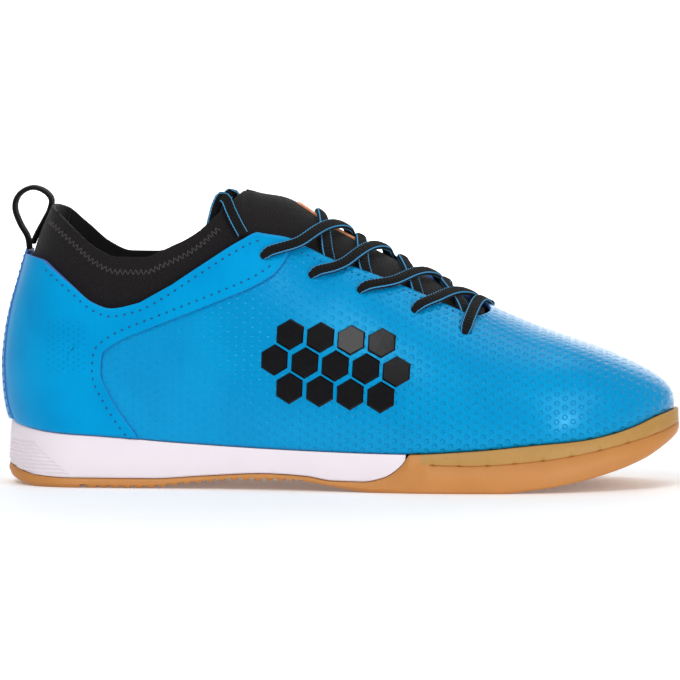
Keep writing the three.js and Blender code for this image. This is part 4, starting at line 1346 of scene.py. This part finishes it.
def link(tree, value, socket):
    """Feeds a socket from a plain value or another node's output."""
    if isinstance(value, bpy.types.NodeSocket):
        tree.links.new(value, socket)
    else:
        socket.default_value = value


def operate(tree, kind, operation, *values):
    """Output of a new node of that kind and operation."""
    node = tree.nodes.new(kind)
    node.operation = operation
    for value, socket in zip(values, node.inputs):
        link(tree, value, socket)
    return node.outputs[0]


def scaled(tree, vector, factor):
    """A vector times a number."""
    node = tree.nodes.new("ShaderNodeVectorMath")
    node.operation = "SCALE"
    link(tree, vector, node.inputs[0])
    link(tree, factor, node.inputs["Scale"])
    return node.outputs[0]


def direction(tree, name):
    """A direction stored on the guide's points."""
    node = tree.nodes.new("GeometryNodeInputNamedAttribute")
    node.data_type = "FLOAT_VECTOR"
    node.inputs["Name"].default_value = name
    return node.outputs["Attribute"]


def turned(tree, primary, secondary):
    """Rotation that lays X along one direction and Z towards another."""
    node = tree.nodes.new("FunctionNodeAxesToRotation")
    node.primary_axis = "X"
    node.secondary_axis = "Z"
    link(tree, primary, node.inputs[0])
    link(tree, secondary, node.inputs[1])
    return node.outputs[0]


def set_out(tree, spots, shape, rotation, scale, material, out):
    """Puts the shape on every spot, makes it real and gives it its material."""
    placed = tree.nodes.new("GeometryNodeInstanceOnPoints")
    link(tree, spots, placed.inputs["Points"])
    link(tree, shape, placed.inputs["Instance"])
    link(tree, rotation, placed.inputs["Rotation"])
    link(tree, scale, placed.inputs["Scale"])
    real = tree.nodes.new("GeometryNodeRealizeInstances")
    finished = tree.nodes.new("GeometryNodeSetMaterial")
    link(tree, placed.outputs[0], real.inputs[0])
    link(tree, real.outputs[0], finished.inputs["Geometry"])
    link(tree, material, finished.inputs["Material"])
    link(tree, finished.outputs[0], out)


def stitch_tree():
    """Stitches along a seam's line, straight or to and fro."""
    sizes = {"Pitch": 0.003, "Length": 0.002, "Thread": 0.0006, "Zigzag": 0.0}
    tree, given, made = new_tree("seam_stitches", sizes)
    line = tree.nodes.new("GeometryNodeMeshToCurve")
    even = tree.nodes.new("GeometryNodeResampleCurve")
    even.mode = "LENGTH"
    link(tree, given["Geometry"], line.inputs[0])
    link(tree, line.outputs[0], even.inputs["Curve"])
    link(tree, given["Pitch"], even.inputs["Length"])
    tangent = tree.nodes.new("GeometryNodeInputTangent").outputs[0]
    outward = direction(tree, "outward")
    sideways = operate(tree, "ShaderNodeVectorMath", "CROSS_PRODUCT", outward, tangent)
    index = tree.nodes.new("GeometryNodeInputIndex").outputs[0]
    odd = operate(tree, "ShaderNodeMath", "MODULO", index, 2.0)
    sign = operate(tree, "ShaderNodeMath", "MULTIPLY_ADD", odd, 2.0, -1.0)
    swing = scaled(tree, sideways, operate(tree, "ShaderNodeMath", "MULTIPLY", sign, given["Zigzag"]))
    way = operate(tree, "ShaderNodeVectorMath", "ADD", scaled(tree, tangent, given["Pitch"]), swing)
    ball = tree.nodes.new("GeometryNodeMeshUVSphere")
    ball.inputs["Segments"].default_value = 8
    ball.inputs["Rings"].default_value = 5
    ball.inputs["Radius"].default_value = 0.5
    size = tree.nodes.new("ShaderNodeCombineXYZ")
    link(tree, given["Length"], size.inputs[0])
    link(tree, given["Thread"], size.inputs[1])
    link(tree, given["Thread"], size.inputs[2])
    smooth = tree.nodes.new("GeometryNodeSetShadeSmooth")
    link(tree, ball.outputs[0], smooth.inputs[0])
    rotation = turned(tree, way, outward)
    set_out(tree, even.outputs[0], smooth.outputs[0], rotation, size.outputs[0], given["Material"], made[0])
    return tree


def tile_tree():
    """Low chamfered tiles, one on every point, flat on the surface."""
    sizes = {"Radius": 0.005, "Height": 0.0008, "Sides": 6.0, "Chamfer": 0.85}
    tree, given, made = new_tree("surface_tiles", sizes)
    cone = tree.nodes.new("GeometryNodeMeshCone")
    cone.fill_type = "NGON"
    link(tree, given["Sides"], cone.inputs["Vertices"])
    link(tree, given["Radius"], cone.inputs["Radius Bottom"])
    top_radius = operate(tree, "ShaderNodeMath", "MULTIPLY", given["Radius"], given["Chamfer"])
    link(tree, top_radius, cone.inputs["Radius Top"])
    link(tree, given["Height"], cone.inputs["Depth"])
    rotation = turned(tree, direction(tree, "along"), direction(tree, "outward"))
    points = tree.nodes.new("GeometryNodeMeshToPoints")
    link(tree, given["Geometry"], points.inputs["Mesh"])
    set_out(tree, points.outputs[0], cone.outputs[0], rotation, (1, 1, 1), given["Material"], made[0])
    return tree


def grown(name, tree, points, edges, vectors, values):
    """A finished piece from a tree: points and their direction attributes in, a plain mesh out."""
    mesh = bpy.data.meshes.new(name + "_guide")
    mesh.from_pydata([tuple(p) for p in points], edges, [])
    for key, vector in vectors.items():
        stored = mesh.attributes.new(key, "FLOAT_VECTOR", "POINT")
        stored.data.foreach_set("vector", np.asarray(vector, np.float32).ravel())
    obj = bpy.data.objects.new(name, mesh)
    bpy.context.scene.collection.objects.link(obj)
    modifier = obj.modifiers.new("grow", "NODES")
    modifier.node_group = tree
    for socket in tree.interface.items_tree:
        if socket.in_out == "INPUT" and socket.name in values:
            modifier[socket.identifier] = values[socket.name]
    depsgraph = bpy.context.evaluated_depsgraph_get()
    plain = bpy.data.meshes.new_from_object(obj.evaluated_get(depsgraph), depsgraph=depsgraph)
    obj.modifiers.clear()
    obj.data = plain
    plain.name = name
    return obj


STITCHES = stitch_tree()
TILES = tile_tree()


def sew(name, seams, thread_material, pitch, length, thickness, zigzag=0.0, slot="smooth_skin"):
    """Stitches along several seams, each a list of points and outward normals."""
    points, normals, edges = [], [], []
    for seam_points, seam_normals in seams:
        first = sum(len(p) for p in points)
        points.append(seam_points)
        normals.append(seam_normals)
        edges += [(first + k, first + k + 1) for k in range(len(seam_points) - 1)]
    values = {
        "Pitch": pitch, "Length": length, "Thread": thickness, "Zigzag": zigzag, "Material": thread_material,
    }
    piece = grown(name, STITCHES, np.concatenate(points), edges, {"outward": np.concatenate(normals)}, values)
    return ride(piece, slot=slot)


def seam_on(way, turn, depth):
    """Points and outward normals of a seam at a depth."""
    way, turn = np.broadcast_arrays(way, turn)
    return skin(way, turn, np.full(way.shape, depth)), last_normal(way, turn)


def collar_seam(side, line, drop, depth, first, last):
    """A seam that follows a side line at a drop below it."""
    way = np.linspace(way_at(first), way_at(last), 240)
    turn = turn_under(way, side, lambda x: line(x) - drop, depth)
    return seam_on(way, turn, depth)


PANEL_SEAM_TOP = 0.70 * SHOE_HEIGHT
BACKSTAY_SEAM_TOP = 0.745 * SHOE_HEIGHT


def panel_seam(side, inset):
    """A seam inside the panel's front edge."""
    foot = float(feather(to_x(0.22))) + 2 * MM
    z = np.linspace(foot, PANEL_SEAM_TOP, 200)
    slope = np.gradient(to_x(panel_front(z / SHOE_HEIGHT)), z)
    lean = np.sqrt(1 + slope**2)
    front = to_x(panel_front(z / SHOE_HEIGHT)) - inset / lean
    lifted = z + inset * slope / lean
    way = way_at(front)
    return seam_on(way, turn_at_height(way, side, lifted), -GAP - OVERLAY_WALL)


def throat_seam(side, inset, first, last, depth):
    """A seam beside the throat's edge."""
    x = np.linspace(first, last, 160)
    low, high = throat_sides(x)
    y = low - inset if side < 0 else high + inset
    way = way_at(x)
    return seam_on(way, turn_at_width(way, y), depth)


def backstay_seam(side, inset):
    """A seam inside the backstay's edge."""
    z = np.linspace(float(feather(BACK_X)) + 3 * MM, BACKSTAY_SEAM_TOP, 120)
    way = np.interp(z, BACKSTAY_HEIGHTS, backstay_ways(-inset))
    return seam_on(way, turn_at_height(way, side, z), -GAP - BACKSTAY_WALL)


# Seams: how far inside their edge they run
COLLAR_DROP = 3.3 * MM
PANEL_INSET = 3.6 * MM
BACKSTAY_INSET = 1.8 * MM
THROAT_INSET = 2.2 * MM
RIM_DROP = 6.5 * MM

on_panel = -GAP - OVERLAY_WALL
on_sock = UPPER_WALL + GAP
skin_seams, eyestay_seams, sock_seams = [], [], []
for side in (-1.0, 1.0):
    skin_seams.append(collar_seam(side, topline, COLLAR_DROP, on_panel, to_x(0.075), to_x(0.385)))
    skin_seams.append(panel_seam(side, PANEL_INSET))
    skin_seams.append(backstay_seam(side, BACKSTAY_INSET))
    eyestay_seams.append(throat_seam(side, THROAT_INSET, to_x(0.45), THROAT_TIP - 1.5 * MM, 0.0))
    sock_seams.append(collar_seam(side, rim, RIM_DROP, on_sock, BACK_X + 9 * MM, to_x(0.33)))
sew("skin_stitching", skin_seams, navy_thread, 3.4 * MM, 1.2 * MM, 0.75 * MM)
sew("eyestay_stitching", eyestay_seams, navy_thread, 2.8 * MM, 1.0 * MM, 0.7 * MM, slot="embossed_skin")
sew(
    "sock_stitching", sock_seams, black_thread, 1.1 * MM, 2.9 * MM, 0.4 * MM,
    zigzag=2.6 * MM, slot="sock_knit",
)


def honeycomb(columns, rows, pitch):
    """Centres of a honeycomb, in plan of its own."""
    found = []
    for row in range(rows):
        count = columns - abs(row - rows // 2)
        for column in range(count):
            across = (column - (count - 1) / 2) * pitch
            found.append((across, (row - (rows - 1) / 2) * pitch * math.sqrt(3) / 2))
    return np.array(found)


TILE_PITCH = 13.0 * MM
TILE_RADIUS = 7.0 * MM
TILE_HEIGHT = 1.0 * MM
TILE_SINK = 0.35 * MM
TILES_AT = (114 * MM, 53 * MM)
TILES_SLOPE = 0.08


def make_tiles():
    """A plain honeycomb of gloss tiles on the outer quarter."""
    cells = honeycomb(5, 3, TILE_PITCH)
    x = TILES_AT[0] + cells[:, 0]
    z = TILES_AT[1] + cells[:, 1] - TILES_SLOPE * cells[:, 0]
    way = way_at(x)
    turn = turn_at_height(way, -1.0, z)
    outward = last_normal(way, turn)
    along = np.cross(outward, np.cross([0.0, 0.0, 1.0], outward))
    values = {
        "Radius": TILE_RADIUS, "Height": TILE_HEIGHT, "Sides": 6.0, "Chamfer": 0.86, "Material": tile_gloss,
    }
    guide = skin(way, turn, np.full(way.shape, TILE_SINK))
    piece = grown("quarter_tiles", TILES, guide, [], {"outward": outward, "along": along}, values)
    return ride(piece, slot="smooth_skin")


make_tiles()

# Lugs of the tread: their grid and size, the smooth border round them and the bare waist, shares of length
LUG_PITCH = 7.2 * MM
LUG_RADIUS = 3.5 * MM
LUG_LIFT = 0.15 * MM
LUG_BORDER = 9.5 * MM
BARE_TOE = 9 * MM
BARE_WAIST = (0.24, 0.50)


def make_lugs():
    """Low six-sided lugs over the tread, inside its smooth border."""
    spots = []
    for i in range(int(LENGTH / LUG_PITCH) + 1):
        for j in range(-9, 10):
            x = BACK_X + i * LUG_PITCH * math.sqrt(3) / 2
            y = (j + 0.5 * (i % 2)) * LUG_PITCH
            if BARE_WAIST[0] < to_share(x) < BARE_WAIST[1] or x > TIP_X - BARE_TOE:
                continue
            if abs(y - float(plan_centre(x))) < float(half_width(x)) - LUG_BORDER:
                spots.append((x, y))
    spots = np.array(spots)
    slope = (tread(spots[:, 0] + MM) - tread(spots[:, 0] - MM)) / (2 * MM)
    down = np.column_stack([slope, 0 * slope, -1 + 0 * slope])
    points = np.column_stack([spots, tread(spots[:, 0]) + TREAD_RELIEF + LUG_LIFT])
    along = np.tile([0.0, 1.0, 0.0], (len(spots), 1))
    values = {
        "Radius": LUG_RADIUS, "Height": TREAD_RELIEF, "Sides": 6.0, "Chamfer": 0.82, "Material": gum,
    }
    piece = grown("tread_lugs", TILES, points, [], {"outward": down, "along": along}, values)
    return ride(piece, slot="gum_rubber")


make_lugs()

insole = bpy.data.objects["insole"]
insole.data.materials.clear()
insole.data.materials.append(insole_cloth)

# Floor, light and camera


def make_floor():
    """Pale floor that sweeps up behind the shoe."""
    radius, far, half = 2.0, 3.0, 6.0
    profile = [(-half, 0.0)] + [
        (far + radius * math.sin(t), radius - radius * math.cos(t)) for t in np.linspace(0, math.pi / 2, 25)
    ] + [(far + radius, 7.0)]
    points = [(side * half, y, z) for y, z in profile for side in (-1, 1)]
    faces = [(2 * k, 2 * k + 1, 2 * k + 3, 2 * k + 2) for k in range(len(profile) - 1)]
    mesh = bpy.data.meshes.new("floor")
    mesh.from_pydata(points, [], faces)
    mesh.polygons.foreach_set("use_smooth", [True] * len(mesh.polygons))
    mesh.materials.append(floor_paint())
    floor = bpy.data.objects.new("floor", mesh)
    bpy.context.scene.collection.objects.link(floor)


def make_light(name, place, target, size, power):
    """A square soft lamp aimed at its target."""
    lamp = bpy.data.lights.new(name, "AREA")
    lamp.shape = "SQUARE"
    lamp.size = size
    lamp.energy = power
    obj = bpy.data.objects.new(name, lamp)
    obj.location = place
    obj.rotation_euler = (Vector(target) - Vector(place)).to_track_quat("-Z", "Y").to_euler()
    bpy.context.scene.collection.objects.link(obj)


def make_camera():
    """The photo's side view: a little to the toe's side and a little above."""
    azimuth, elevation, distance = math.radians(4.3), math.radians(3.6), 2.6
    target = Vector((112.9 * MM, 0, 61.3 * MM))
    frame_width = 290.8 * MM
    data = bpy.data.cameras.new("camera")
    data.sensor_width = 36
    data.lens = 36 * distance / frame_width
    data.clip_end = 50
    camera = bpy.data.objects.new("camera", data)
    back = Vector((
        math.sin(azimuth) * math.cos(elevation),
        -math.cos(azimuth) * math.cos(elevation),
        math.sin(elevation),
    ))
    camera.location = target + back * distance
    camera.rotation_euler = (-back).to_track_quat("-Z", "Y").to_euler()
    bpy.context.scene.collection.objects.link(camera)
    bpy.context.scene.camera = camera


make_floor()
middle = (0.11, 0, 0.05)
make_light("key", (-0.5, -1.4, 1.5), middle, 0.9, 15.2)
make_light("fill", (1.4, -1.3, 0.9), middle, 0.9, 7)
make_light("toe_glint", (1.0, -0.9, 0.18), (0.2, -0.04, 0.03), 0.1, 2.2)
make_light("top", (0.2, 0.2, 1.9), middle, 1.6, 10)
make_light("backdrop", (0.1, 1.2, 2.2), (0.1, 4.6, 1.2), 2.4, 190)
world = bpy.data.worlds.new("studio")
world.use_nodes = True
world.node_tree.nodes["Background"].inputs["Color"].default_value = (1, 1, 1, 1)
world.node_tree.nodes["Background"].inputs["Strength"].default_value = 0.32
bpy.context.scene.world = world
make_camera()
bpy.context.scene.view_settings.view_transform = "Standard"
